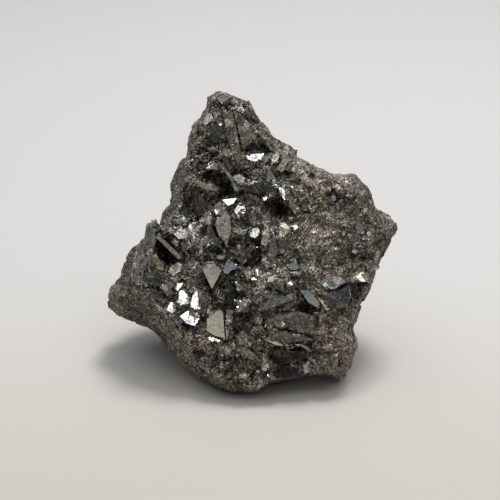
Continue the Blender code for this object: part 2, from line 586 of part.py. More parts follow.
def main():
    for obj in list(bpy.data.objects):
        bpy.data.objects.remove(obj)
    specimen = new_collection("skutterudite_specimen")
    helpers = new_collection("helpers")
    crystals = bpy.data.collections.new("crystals")
    helpers.children.link(crystals)
    blank = add_object("stone_blank", stone_mesh(), helpers)
    hide_helper(blank)
    for face in CRYSTAL_FACES:
        hide_helper(add_object("crystal_" + face.name, crystal_mesh(face), crystals))
    for number, mesh in enumerate(filler_crystals()):
        hide_helper(add_object("filler_%02d" % number, mesh, crystals))
    floor = bmesh.new()
    bmesh.ops.create_cube(floor, size=120.0)
    floor.transform(face_to_world().inverted() @ Matrix.Translation((0, 0, -60 * MM)) @ Matrix.Scale(MM, 4))
    floor_box = add_object("floor_box", floor, helpers)
    hide_helper(floor_box)
    add_boolean(blank, "grow_crystals", 'UNION', collection=crystals)
    add_boolean(blank, "break_base", 'DIFFERENCE', object=floor_box)
    node = bpy.data.objects.new("skutterudite_specimen", settled_mesh(blank))
    node.data.materials.clear()
    node.data.materials.append(ore_material())
    specimen.objects.link(node)


main()
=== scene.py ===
"""Skutterudite specimen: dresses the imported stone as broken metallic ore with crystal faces."""

import logging
import math
from dataclasses import dataclass, field
from enum import Enum
from typing import Any, ClassVar, Iterable, Optional, Sequence, Union

import bmesh
import bpy
import numpy as np
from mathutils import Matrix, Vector
from mathutils.kdtree import KDTree

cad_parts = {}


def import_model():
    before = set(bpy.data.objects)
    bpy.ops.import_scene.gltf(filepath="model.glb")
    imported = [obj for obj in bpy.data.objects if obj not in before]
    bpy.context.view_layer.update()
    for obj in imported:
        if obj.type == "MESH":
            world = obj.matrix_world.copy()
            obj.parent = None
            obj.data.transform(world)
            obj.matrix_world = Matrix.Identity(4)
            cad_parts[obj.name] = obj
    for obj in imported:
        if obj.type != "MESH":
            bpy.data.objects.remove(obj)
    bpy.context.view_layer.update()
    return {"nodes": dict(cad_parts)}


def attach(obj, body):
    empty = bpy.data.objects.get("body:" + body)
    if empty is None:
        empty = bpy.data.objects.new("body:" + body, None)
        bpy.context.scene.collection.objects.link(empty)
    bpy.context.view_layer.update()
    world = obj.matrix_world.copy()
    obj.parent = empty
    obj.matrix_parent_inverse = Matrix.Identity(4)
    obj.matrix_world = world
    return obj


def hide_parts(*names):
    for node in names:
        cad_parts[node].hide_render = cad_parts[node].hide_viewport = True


LOG = logging.getLogger("specimen")
MM = 0.001
NODE = "skutterudite_specimen"
BODY = "root"

Number = Union[int, float]
Pair = tuple[float, float]
Colour = tuple[float, float, float]


class Mark(Enum):
    """Attributes that the meshes carry for their relief and finish."""

    FLAT = "flat"
    INSET = "inset"
    WEAR = "wear"
    LUSTRE = "lustre"
    SHADE = "shade"
    # Ground tone, with painted shade from the dark spots.
    TONE_AND_SHADE = "tone_and_shade"
    MATRIX = "matrix"
    BROWN = "brown"
    CALM = "calm"
    ROOM = "room"


# ---------------------------------------------------------------- node trees


class Wire:
    """A socket of a node tree that takes part in arithmetic."""

    def __init__(self, wiring: "Wiring", socket: bpy.types.NodeSocket) -> None:
        """Wraps an output socket of the tree that the wiring builds."""
        self.wiring = wiring
        self.socket = socket

    def math(self, operation: str, *others: Any, clamp: bool = False) -> "Wire":
        """Adds a Math node on this value.

        Args:
            operation: The Math node's operation.
            *others: The node's other inputs, as numbers or wires.
            clamp: Whether the result is kept between 0 and 1.

        Returns:
            The node's result.
        """
        values = dict(enumerate((self, *others)))
        return self.wiring.node("ShaderNodeMath", {"operation": operation, "use_clamp": clamp}, values)

    def __add__(self, other: Any) -> "Wire":
        """This value plus another."""
        return self.math("ADD", other)

    __radd__ = __add__

    def __mul__(self, other: Any) -> "Wire":
        """This value times another."""
        return self.math("MULTIPLY", other)

    __rmul__ = __mul__

    def __sub__(self, other: Any) -> "Wire":
        """This value less another."""
        return self.math("SUBTRACT", other)

    def __rsub__(self, other: Any) -> "Wire":
        """Another value less this one."""
        return self.wiring.node("ShaderNodeMath", {"operation": "SUBTRACT"}, {0: other, 1: self})

    def __truediv__(self, other: Any) -> "Wire":
        """This value divided by another."""
        return self.math("DIVIDE", other)

    def __pow__(self, other: Any) -> "Wire":
        """This value raised to a power."""
        return self.math("POWER", other)

    def clamped(self) -> "Wire":
        """This value kept between 0 and 1."""
        return self.math("ADD", 0.0, clamp=True)

    def between(self, low: Number, high: Number) -> "Wire":
        """How far this value is from low to high, as a smooth step from 0 to 1."""
        ends = {0: self, 1: low, 2: high, 3: 0.0, 4: 1.0}
        return self.wiring.node("ShaderNodeMapRange", {"interpolation_type": "SMOOTHSTEP"}, ends)

    def vector(self, operation: str, *others: Any, result: int = 0) -> "Wire":
        """Adds a Vector Math node on this vector.

        Args:
            operation: The node's operation.
            *others: The node's other inputs, as vectors, wires or, for SCALE, one number.
            result: Which of the node's outputs is wanted, 0 for the vector and 1 for the value.

        Returns:
            The node's result.
        """
        inputs = dict(enumerate((self, *others)))
        if operation == "SCALE":
            inputs = {0: self, 3: others[0]}
        return self.wiring.node("ShaderNodeVectorMath", {"operation": operation}, inputs, result)

    def centred(self) -> "Wire":
        """This vector of values between 0 and 1, moved to lie around 0."""
        return self.vector("SUBTRACT", (0.5, 0.5, 0.5))


class Wiring:
    """Builds the nodes of one tree."""

    def __init__(self, tree: bpy.types.NodeTree) -> None:
        """Starts on a tree, which may hold nodes already."""
        self.tree = tree

    def connect(self, value: Any, socket: bpy.types.NodeSocket) -> None:
        """Links a wire to an input socket, or sets the socket's own value.

        Args:
            value: A wire, number, vector, colour, text or material.
            socket: The input.
        """
        if isinstance(value, Wire):
            self.tree.links.new(value.socket, socket)
        elif isinstance(value, (tuple, list)) and len(value) == 3 and socket.type == "RGBA":
            socket.default_value = (*value, 1.0)
        else:
            socket.default_value = value

    def node(self, kind: str, settings: Optional[dict[str, Any]] = None,
             inputs: Optional[dict[Union[int, str], Any]] = None, output: Union[int, str] = 0) -> Wire:
        """Adds a node, applies its settings, then fills its sockets.

        Args:
            kind: The node's type name.
            settings: Its properties; "stops" gives a colour ramp's (position, colour) pairs.
            inputs: A number, vector, colour or wire for each input, by index or name.
            output: The output to return, by index or name.

        Returns:
            The chosen output.
        """
        made = self.tree.nodes.new(kind)
        for name, value in (settings or {}).items():
            if name == "stops":
                self.set_stops(made.color_ramp, value)
            else:
                setattr(made, name, value)
        for key, value in (inputs or {}).items():
            self.connect(value, made.inputs[key])
        return Wire(self, made.outputs[output])

    @staticmethod
    def set_stops(ramp: bpy.types.ColorRamp, stops: Sequence[tuple[float, Colour]]) -> None:
        """Sets a colour ramp to steps of plain colour.

        Args:
            ramp: The ramp.
            stops: Where each step begins and its colour.
        """
        ramp.interpolation = "CONSTANT"
        while len(ramp.elements) < len(stops):
            ramp.elements.new(0.5)
        for element, (position, colour) in zip(ramp.elements, stops):
            element.position = position
            element.color = (*colour, 1.0)

    def mix(self, share: Any, first: Any, second: Any, blend: str = "MIX") -> Wire:
        """Mixes two colours.

        Args:
            share: How much of the second colour, from 0 to 1.
            first: The colour at share 0.
            second: The colour at share 1.
            blend: The Mix node's blend type.

        Returns:
            The mixed colour.
        """
        settings = {"data_type": "RGBA", "blend_type": blend}
        return self.node("ShaderNodeMix", settings, {0: share, 6: first, 7: second}, 2)

    def tinted(self, colour: Any, tint: Any) -> Wire:
        """A colour times another."""
        return self.mix(1.0, colour, tint, "MULTIPLY")

    def grey(self, value: Wire) -> Wire:
        """A value as a grey colour."""
        return self.node("ShaderNodeCombineColor", None, {0: value, 1: value, 2: value})

    def scaled(self, place: Wire, size: Any) -> Wire:
        """Coordinates counted in steps of a size."""
        return place.vector("SCALE", size ** -1)

    def voronoi(self, place: Wire, cell: Any, output: str, feature: str = "F1") -> Wire:
        """Cells of about the given size.

        Args:
            place: The coordinates, in metres.
            cell: The cells' size, in metres.
            output: The texture's output, such as "Color", "Distance" or "Position".
            feature: The texture's feature.

        Returns:
            That output.
        """
        inputs = {"Vector": self.scaled(place, cell), "Scale": 1.0}
        return self.node("ShaderNodeTexVoronoi", {"feature": feature}, inputs, output)

    def noise(self, place: Wire, size: Number, detail: Number = 2.0, output: str = "Fac") -> Wire:
        """Soft noise.

        Args:
            place: The coordinates, in metres.
            size: The size of its largest features, in metres.
            detail: How many finer layers it has.
            output: "Fac" or "Color".

        Returns:
            That output.
        """
        inputs = {"Vector": place, "Scale": 1 / size, "Detail": detail}
        return self.node("ShaderNodeTexNoise", None, inputs, output)

    def parts(self, vector: Wire) -> tuple[Wire, Wire, Wire]:
        """The three components of a vector."""
        outputs = self.node("ShaderNodeSeparateXYZ", None, {0: vector}).socket.node.outputs
        return Wire(self, outputs[0]), Wire(self, outputs[1]), Wire(self, outputs[2])

    def chance(self, place: Wire, cell: Number, part: int) -> Wire:
        """One of three chance values, from 0 to 1, for each cell of a size."""
        return self.parts(self.voronoi(place, cell, "Color"))[part]

    def draw_out(self, place: Wire, patch: Any, stretch: Any) -> Wire:
        """Coordinates drawn out along a direction of its own within each patch.

        Args:
            place: The coordinates, in metres.
            patch: The patches' size, in metres.
            stretch: How much of the length along that direction is taken out, from 0 to 1.

        Returns:
            The coordinates for a texture that is to look splintered.
        """
        along = self.voronoi(place, patch, "Color").centred().vector("NORMALIZE")
        share = place.vector("DOT_PRODUCT", along, result=1) * stretch
        return place.vector("SUBTRACT", along.vector("SCALE", share))

    def facets(self, place: Wire, cell: Any, step: Any, slope: Any) -> Wire:
        """Heights of flat chips, each at its own level and tilt.

        Args:
            place: The coordinates, in metres.
            cell: The chips' size, in metres.
            step: How far their levels differ, as a share of their size.
            slope: How steeply they tilt.

        Returns:
            The height, in metres.
        """
        inner = self.scaled(place, cell)
        centre = self.voronoi(inner, 1, "Position")
        kind, settings = "ShaderNodeTexWhiteNoise", {"noise_dimensions": "3D"}
        chances = self.node(kind, settings, {"Vector": centre}, "Color").centred()
        level = self.parts(chances)[0]
        tilt = inner.vector("SUBTRACT", centre).vector("DOT_PRODUCT", chances, result=1)
        return (level * step + tilt * slope) * cell * 2


class ShapeTree(Wiring):
    """A Geometry Nodes tree with one mesh in and one mesh out."""

    def __init__(self, name: str, sizes: dict[str, float]) -> None:
        """Makes the tree and its inputs.

        Args:
            name: The tree's name.
            sizes: Its named inputs and their values.
        """
        super().__init__(bpy.data.node_groups.new(name, "GeometryNodeTree"))
        face = self.tree.interface
        face.new_socket("Geometry", in_out="OUTPUT", socket_type="NodeSocketGeometry")
        face.new_socket("Geometry", in_out="INPUT", socket_type="NodeSocketGeometry")
        for label in sizes:
            face.new_socket(label, in_out="INPUT", socket_type="NodeSocketFloat")
        self.sizes = sizes
        self.inlet = self.tree.nodes.new("NodeGroupInput")

    def given(self, label: str) -> Wire:
        """One of the tree's inputs."""
        return Wire(self, self.inlet.outputs[label])

    def carried(self, mark: Mark) -> Wire:
        """The value that the mesh carries under a mark."""
        return self.node("GeometryNodeInputNamedAttribute", {"data_type": "FLOAT"}, {"Name": mark.value})

    def marked(self, geometry: Wire, mark: Mark, value: Any, domain: str) -> Wire:
        """The geometry, carrying a value under a mark.

        Args:
            geometry: The geometry.
            mark: The mark.
            value: Its value.
            domain: What carries it, "POINT" or "INSTANCE".

        Returns:
            The geometry with that mark.
        """
        inputs = {"Geometry": geometry, "Name": mark.value, "Value": value}
        settings = {"data_type": "FLOAT", "domain": domain}
        return self.node("GeometryNodeStoreNamedAttribute", settings, inputs)

    def random(self, low: Any, high: Any, seed: int) -> Wire:
        """A chance value for each instance.

        Args:
            low: The least value, as a number, a wire or a vector.
            high: The greatest, of the same kind.
            seed: The seed.

        Returns:
            The value, a vector if low is one.
        """
        kind, first = ("FLOAT_VECTOR", 0) if isinstance(low, tuple) else ("FLOAT", 2)
        inputs = {first: low, first + 1: high, "Seed": seed}
        return self.node("FunctionNodeRandomValue", {"data_type": kind}, inputs, first // 2)

    def close(self, geometry: Wire, material: bpy.types.Material) -> None:
        """Ends the tree: instances are made real and given their material.

        Args:
            geometry: What the tree has made.
            material: Its material.
        """
        real = self.node("GeometryNodeRealizeInstances", None, {0: geometry})
        dressed = self.node("GeometryNodeSetMaterial", None, {"Geometry": real, "Material": material})
        outlet = self.tree.nodes.new("NodeGroupOutput")
        self.connect(dressed, outlet.inputs[0])

    def grow(self, obj: bpy.types.Object, name: str) -> bpy.types.Object:
        """Applies the tree to an object.

        Args:
            obj: The object whose mesh goes in.
            name: The name of the piece that comes out.

        Returns:
            A new object at the origin with the tree's result as a plain mesh.
        """
        modifier = obj.modifiers.new(self.tree.name, "NODES")
        modifier.node_group = self.tree
        for item in self.tree.interface.items_tree:
            if item.in_out == "INPUT" and item.name in self.sizes:
                modifier[item.identifier] = float(self.sizes[item.name])
        shaped = obj.evaluated_get(bpy.context.evaluated_depsgraph_get())
        mesh = bpy.data.meshes.new_from_object(shaped)
        obj.modifiers.remove(modifier)
        mesh.name = name
        return add_piece(name, mesh)


def add_piece(name: str, mesh: bpy.types.Mesh) -> bpy.types.Object:
    """Puts a mesh in the scene as an object at the origin.

    Args:
        name: The object's name.
        mesh: The mesh.

    Returns:
        The object.
    """
    obj = bpy.data.objects.new(name, mesh)
    bpy.context.scene.collection.objects.link(obj)
    return obj


def write_mark(mesh: bpy.types.Mesh, mark: Mark, values: np.ndarray, domain: str = "POINT") -> None:
    """Stores values on a mesh under a mark.

    Args:
        mesh: The mesh.
        mark: The mark.
        values: One value for each corner, or for each face.
        domain: "POINT" for corners, "FACE" for faces.
    """
    layer = mesh.attributes.new(mark.value, "FLOAT", domain)
    layer.data.foreach_set("value", values.astype(np.float32))


def drop_marks(mesh: bpy.types.Mesh, *marks: Mark) -> None:
    """Removes what a mesh carries under some marks."""
    for mark in marks:
        mesh.attributes.remove(mesh.attributes[mark.value])


# ---------------------------------------------------------------- the crystal face's own frame


@dataclass(frozen=True)
class FaceFrame:
    """The leaning crystal face: u across it, v up it and w out of it, read on a grid of fine steps.

    The grid is step wide on the face and narrows above it, to a point at the height of taper.
    """

    origin: Vector = field(default_factory=lambda: Vector((-0.00036, -0.00867, 0.03260)))
    lean: float = math.radians(27)
    step: float = 0.23 * MM
    axis: Pair = (250.0, 250.0)
    taper: float = 0.300

    @property
    def across(self) -> Vector:
        """The direction of u."""
        return Vector((1, 0, 0))

    @property
    def up(self) -> Vector:
        """The direction of v."""
        return Vector((0, math.sin(self.lean), math.cos(self.lean)))

    @property
    def out(self) -> Vector:
        """The direction of w."""
        return Vector((0, -math.cos(self.lean), math.sin(self.lean)))

    def read(self, points: np.ndarray) -> np.ndarray:
        """Grid places and heights of points.

        Args:
            points: Points as rows of x, y, z, in metres.

        Returns:
            Rows of grid x, grid y and height, the height in metres.
        """
        offset = points - np.array(self.origin)
        height = offset @ np.array(self.out)
        spread = self.step * (1 - height / self.taper)
        x = self.axis[0] + offset @ np.array(self.across) / spread
        y = self.axis[1] - offset @ np.array(self.up) / spread
        return np.stack([x, y, height], axis=1)

    def read_mesh(self, mesh: bpy.types.Mesh) -> np.ndarray:
        """Grid places and heights of a mesh's corners.

        Args:
            mesh: The mesh.

        Returns:
            One row for each corner, as read gives them.
        """
        points = np.empty(len(mesh.vertices) * 3)
        mesh.vertices.foreach_get("co", points)
        return self.read(points.reshape(-1, 3))


FACE = FaceFrame()

# The rim of the crystal face, as grid places. The stone's granular sides begin there.
RIM: list[Pair] = [
    (224, 95), (238, 101), (249, 106), (257, 121), (260, 135), (270, 147), (284, 159), (303, 170),
    (330, 178), (352, 178), (370, 202), (374, 214), (388, 230), (382, 248), (374, 263), (368, 284),
    (359, 302), (350, 322), (352, 346), (345, 368), (328, 371), (297, 374), (270, 379), (258, 388),
    (236, 387), (212, 377), (194, 360), (184, 342), (168, 314), (150, 296), (136, 288), (141, 270),
    (152, 262), (153, 244), (153, 232), (166, 226), (178, 213), (183, 187), (189, 160), (193, 133),
    (205, 116), (212, 98),
]


def signed_distance(places: np.ndarray, corners: Sequence[Pair]) -> np.ndarray:
    """Distances to a closed line of corners, in grid steps, negative inside it.

    Args:
        places: Rows of grid x and y.
        corners: The corners of the line, in order.

    Returns:
        One distance for each place.
    """
    x, y = places[:, 0], places[:, 1]
    shortest = np.full(len(places), np.inf)
    inside = np.zeros(len(places), dtype=bool)
    for (xa, ya), (xb, yb) in zip(corners, [*corners[1:], corners[0]]):
        dx, dy = xb - xa, yb - ya
        share = np.clip(((x - xa) * dx + (y - ya) * dy) / (dx * dx + dy * dy), 0, 1)
        shortest = np.minimum(shortest, np.hypot(x - xa - share * dx, y - ya - share * dy))
        if ya != yb:
            crossed = (ya > y) != (yb > y)
            inside ^= crossed & (x < dx * (y - ya) / dy + xa)
    return np.where(inside, -shortest, shortest)


# ---------------------------------------------------------------- finishes


class Lustre(Enum):
    """Kinds of crystal face, fresh metal to deep tarnish, and near black partly as painted shade."""

    BRIGHT = 0
    PALE = 1
    GREY = 2
    DARK = 3
    BLACK = 4
    BLUE = 5
    LILAC = 6
    GREEN = 7
    TAN = 8
    BROWN = 9


@dataclass(frozen=True)
class Sheen:
    """How a kind of crystal face takes the light."""

    colour: Colour
    roughness: float
    fracture: float
    wear: float


SHEENS: dict[Lustre, Sheen] = {
    Lustre.BRIGHT: Sheen((0.88, 0.88, 0.88), 0.10, 0.9, 0.06),
    Lustre.PALE: Sheen((0.76, 0.74, 0.70), 0.20, 0.6, 0.12),
    Lustre.GREY: Sheen((0.56, 0.54, 0.515), 0.34, 0.75, 0.50),
    Lustre.DARK: Sheen((0.26, 0.25, 0.24), 0.34, 1.0, 0.45),
    Lustre.BLACK: Sheen((0.09, 0.085, 0.08), 0.38, 1.2, 0.30),
    Lustre.BLUE: Sheen((0.47, 0.52, 0.57), 0.16, 0.3, 0.10),
    Lustre.LILAC: Sheen((0.54, 0.52, 0.58), 0.22, 0.3, 0.20),
    Lustre.GREEN: Sheen((0.60, 0.60, 0.55), 0.13, 0.14, 0.04),
    Lustre.TAN: Sheen((0.60, 0.56, 0.48), 0.36, 1.1, 0.50),
    Lustre.BROWN: Sheen((0.38, 0.33, 0.285), 0.38, 1.2, 0.35),
}


@dataclass(frozen=True)
class CrystalLook:
    """A named crystal face's grid place, lustre and shade."""

    name: str
    x: float
    y: float
    lustre: Lustre
    shade: float = 1.0


# The named crystal faces of each lustre: name, grid place, and shade where it isn't 1.
# A face's shade is partly its own tone and partly painted light and shade.
NAMED_FACES: dict[Lustre, list[tuple[Any, ...]]] = {
    Lustre.BRIGHT: [
        ("window", 255, 157, 0.85), ("star top", 230, 202), ("star foot", 218, 211),
        ("eye", 241, 211, 0.65), ("mirror a", 183, 298), ("mirror b", 195, 302), ("mirror c", 191, 317),
        ("mirror d", 179, 286), ("mirror e", 172, 307), ("glint", 215, 340, 0.9),
        ("spark", 295, 227, 0.85), ("streak", 272, 377), ("flake", 265, 198),
        ("blue chip's glint", 296, 273),
    ],
    Lustre.PALE: [
        ("tip side", 208, 118), ("lintel", 215, 166, 1.3), ("star left", 219, 206, 1.2),
        ("pebble", 175, 269, 1.25), ("centre pane", 266, 239, 1.1), ("cracked", 255, 233),
        ("pale lip", 324, 304), ("left of the shelf's rim", 277, 344, 0.75),
        ("right of the shelf's rim", 302, 347, 0.65), ("light on the lump", 182, 234),
        ("flash", 282, 193, 1.1), ("light crumb", 290, 284, 1.1),
    ],
    Lustre.GREY: [
        ("arc", 231, 180, 0.9), ("tall kite", 224, 227), ("spur left", 152, 235),
        ("spur strip", 170, 248, 0.75), ("chip", 220, 292, 1.3), ("thin pane", 227, 333),
        ("centre wedge", 273, 248, 0.8), ("ridge high", 271, 175, 1.1), ("ridge low", 292, 205, 0.9),
        ("striped ridge", 275, 303, 0.85), ("low grey", 307, 367, 1.2), ("wedge", 239, 233, 1.15),
        ("dome above", 332, 282, 0.9),
    ],
    Lustre.DARK: [
        ("upper pane", 215, 131), ("blue band", 259, 188, 0.8), ("tall shade", 213, 236),
        ("wing high", 152, 279, 0.75), ("wing tail", 160, 296), ("round foot", 286, 245),
        ("grey prism", 247, 255), ("dome below", 337, 299, 0.9),
    ],
    # Near-black faces, whose black is partly painted shade under the shelf, low by the foot and in
    # hollows.
    Lustre.BLACK: [
        ("spur top", 160, 233, 0.6), ("pyramid left", 218, 292), ("pyramid right", 230, 290),
        ("under the shelf", 290, 357), ("low dark", 287, 371, 0.75), ("black prism", 254, 257, 0.6),
        ("dome side", 354, 292, 0.9),
    ],
    Lustre.BLUE: [
        ("blue kite", 229, 268), ("blue chip", 294, 266, 0.8), ("blue blade", 311, 299, 0.75),
    ],
    Lustre.LILAC: [
        ("tip", 223, 97, 0.22), ("wing low", 169, 289, 0.6),
    ],
    Lustre.GREEN: [
        ("kite", 212, 271, 0.95), ("big pane", 216, 325),
    ],
    Lustre.TAN: [
        ("pillar left", 233, 136, 0.75), ("pillar right", 244, 128, 0.65), ("ledge", 206, 185, 0.7),
        ("tan band", 239, 179, 0.8), ("cream", 208, 219, 1.2), ("shelf chip", 238, 285),
        ("round top", 285, 230, 0.75), ("slab", 283, 166, 1.2), ("lump", 275, 158, 1.15),
        ("crumb", 248, 274, 1.6), ("tan cap", 361, 277, 1.2), ("low tan", 265, 363),
        ("cream below", 221, 257, 1.35), ("block", 328, 262, 0.55), ("beside the pit", 158, 262, 0.9),
    ],
    Lustre.BROWN: [
        ("brow", 202, 157, 0.6), ("shelf high", 292, 322, 0.95), ("shelf low", 288, 338, 0.92),
        ("dark blade", 198, 205, 0.42), ("brown head", 243, 338, 1.1), ("brown body", 247, 352),
    ],
}
LOOKS: list[CrystalLook] = [
    CrystalLook(name, x, y, lustre, *shade)
    for lustre, faces in NAMED_FACES.items()
    for name, x, y, *shade in faces
]


# Ground spots: the dark ones in hollows, under overhangs and along the foot are painted shade; the
# others give the ground its own tone.
@dataclass(frozen=True)
class ToneAndShadeSpot:
    """A darker or lighter stretch of broken ground, fading out over its reach in grid steps."""

    name: str
    x: float
    y: float
    reach: float
    shade: float


TONE_AND_SHADE_SPOTS: list[ToneAndShadeSpot] = [ToneAndShadeSpot(*spot) for spot in (
    ("beside the pillar", 252, 134, 11, 0.60), ("upper left rim", 187, 172, 12, 0.85),
    ("under the brow", 213, 178, 11, 0.45), ("striated hollow", 190, 207, 12, 0.50),
    ("right of the ridge", 312, 192, 14, 0.78), ("pit by the ridge", 278, 209, 13, 0.45),
    ("upper right rim", 352, 190, 12, 0.85), ("right edge", 372, 222, 14, 0.78),
    ("right plateau", 312, 214, 12, 1.15), ("dark corner", 350, 253, 14, 0.55),
    ("ribbed ground", 296, 252, 14, 1.45), ("tan crystals", 311, 269, 9, 2.50),
    ("light ribs", 264, 276, 14, 1.45), ("spur hollow", 168, 251, 10, 0.40),
    ("left lobe face", 150, 270, 13, 0.75), ("left lobe side", 130, 292, 13, 0.80),
    ("left lobe underside", 136, 319, 14, 0.42), ("lower left slope", 162, 314, 13, 1.45),
    ("lower left foot", 155, 341, 12, 0.50), ("kite hollow", 226, 294, 15, 0.60),
    ("dark arc", 357, 296, 13, 0.60), ("above the shelf", 292, 308, 9, 1.30),
    ("brown lumps", 244, 342, 12, 1.10), ("low hollow", 232, 372, 14, 0.62),
    ("low middle", 285, 374, 14, 0.65), ("low right", 330, 368, 13, 0.80),
    ("chamber", 228, 189, 9, 0.40), ("sparkling patch", 325, 234, 9, 1.50),
    ("above the pit", 262, 172, 9, 1.35), ("cream ground", 207, 232, 9, 1.25),
    ("below the kite", 240, 270, 9, 1.25), ("beside the pane", 232, 330, 8, 1.20),
    ("left foot edge", 170, 372, 9, 0.75), ("foot left", 208, 389, 14, 0.42),
    ("foot middle", 237, 396, 12, 0.35), ("foot right", 283, 391, 15, 0.35),
)]


class OreTree(Wiring):
    """The ore's shader tree, with the coordinates, marks and patterns that its looks share."""

    def __init__(self, tree: bpy.types.NodeTree, finish: "OreFinish") -> None:
        """Adds what the looks share.

        Args:
            tree: The material's tree.
            finish: The finish, which has the patterns' sizes.
        """
        super().__init__(tree)
        self.place = self.node("ShaderNodeTexCoord", output="Object")
        self.flat = self.mark(Mark.FLAT).between(*finish.flat_edge)
        self.side = self.mark(Mark.MATRIX)
        self.brown = self.mark(Mark.BROWN)
        self.granular = (self.side + finish.brown_grain * self.brown).clamped()
        self.drawn = self.draw_out(self.place, *finish.splinters)
        self.shards = self.draw_out(self.place, *finish.shards)
        self.cloud = self.noise(self.place, finish.cloud_size, 4.0)
        self.grains = self.chance(self.place, finish.grain_size, 1)
        self.streak = self.noise(self.drawn, finish.streak_size, 3.0).between(*finish.streak_band)
        self.strata = self.layers(*finish.strata)

    def mark(self, mark: Mark) -> Wire:
        """The value that a mesh carries under a mark."""
        return self.node("ShaderNodeAttribute", {"attribute_name": mark.value}, output="Fac")

    def by_ground(self, values: Pair) -> Wire:
        """The first of two values on open ore, the second on granular ground."""
        return values[0] + (values[1] - values[0]) * self.granular

    def layers(self, patch: Number, step: Number, bend: Number, swell: Number) -> Wire:
        """Fine layers, at a slope of their own in each patch.

        Args:
            patch: The patches' size, in metres.
            step: The layers' thickness, in metres.
            bend: How far the patches' edges wander, in metres.
            swell: The size of the swells in the layers, in metres, each two layers high.

        Returns:
            A value that rises and falls between 0 and 1 from layer to layer.
        """
        bent = self.place.vector("ADD", self.noise(self.place, bend, 3.0, "Color").vector("SCALE", bend))
        across = self.voronoi(bent, patch, "Color").centred().vector("NORMALIZE")
        level = self.place.vector("DOT_PRODUCT", across, result=1) / step
        level = level + self.noise(self.place, swell, 3.0) * 2
        return (level.math("FRACT") - 0.5).math("ABSOLUTE") * 2

    def lines(self, place: Wire, size: Number, width: Number) -> Wire:
        """Thin wandering lines: 1 on a line, 0 off it."""
        return 1 - (self.noise(place, size, 3.0) - 0.5).math("ABSOLUTE").between(0.0, width)

    def cracks(self, place: Wire, size: Number, width: Number) -> Wire:
        """Straight cracks between chips of a size: 1 on a crack, 0 off it."""
        return 1 - self.voronoi(place, size, "Distance", "DISTANCE_TO_EDGE").between(0.0, width)

    def by_lustre(self, values: dict[Lustre, Colour]) -> Wire:
        """A colour for each lustre.

        Args:
            values: The colour of each lustre.

        Returns:
            The colour of the lustre that the face carries.
        """
        step = 1 / len(Lustre)
        stops = [(lustre.value * step, values[lustre]) for lustre in Lustre]
        place = (self.mark(Mark.LUSTRE) + 0.5) * step
        return self.node("ShaderNodeValToRGB", {"stops": stops}, {0: place})


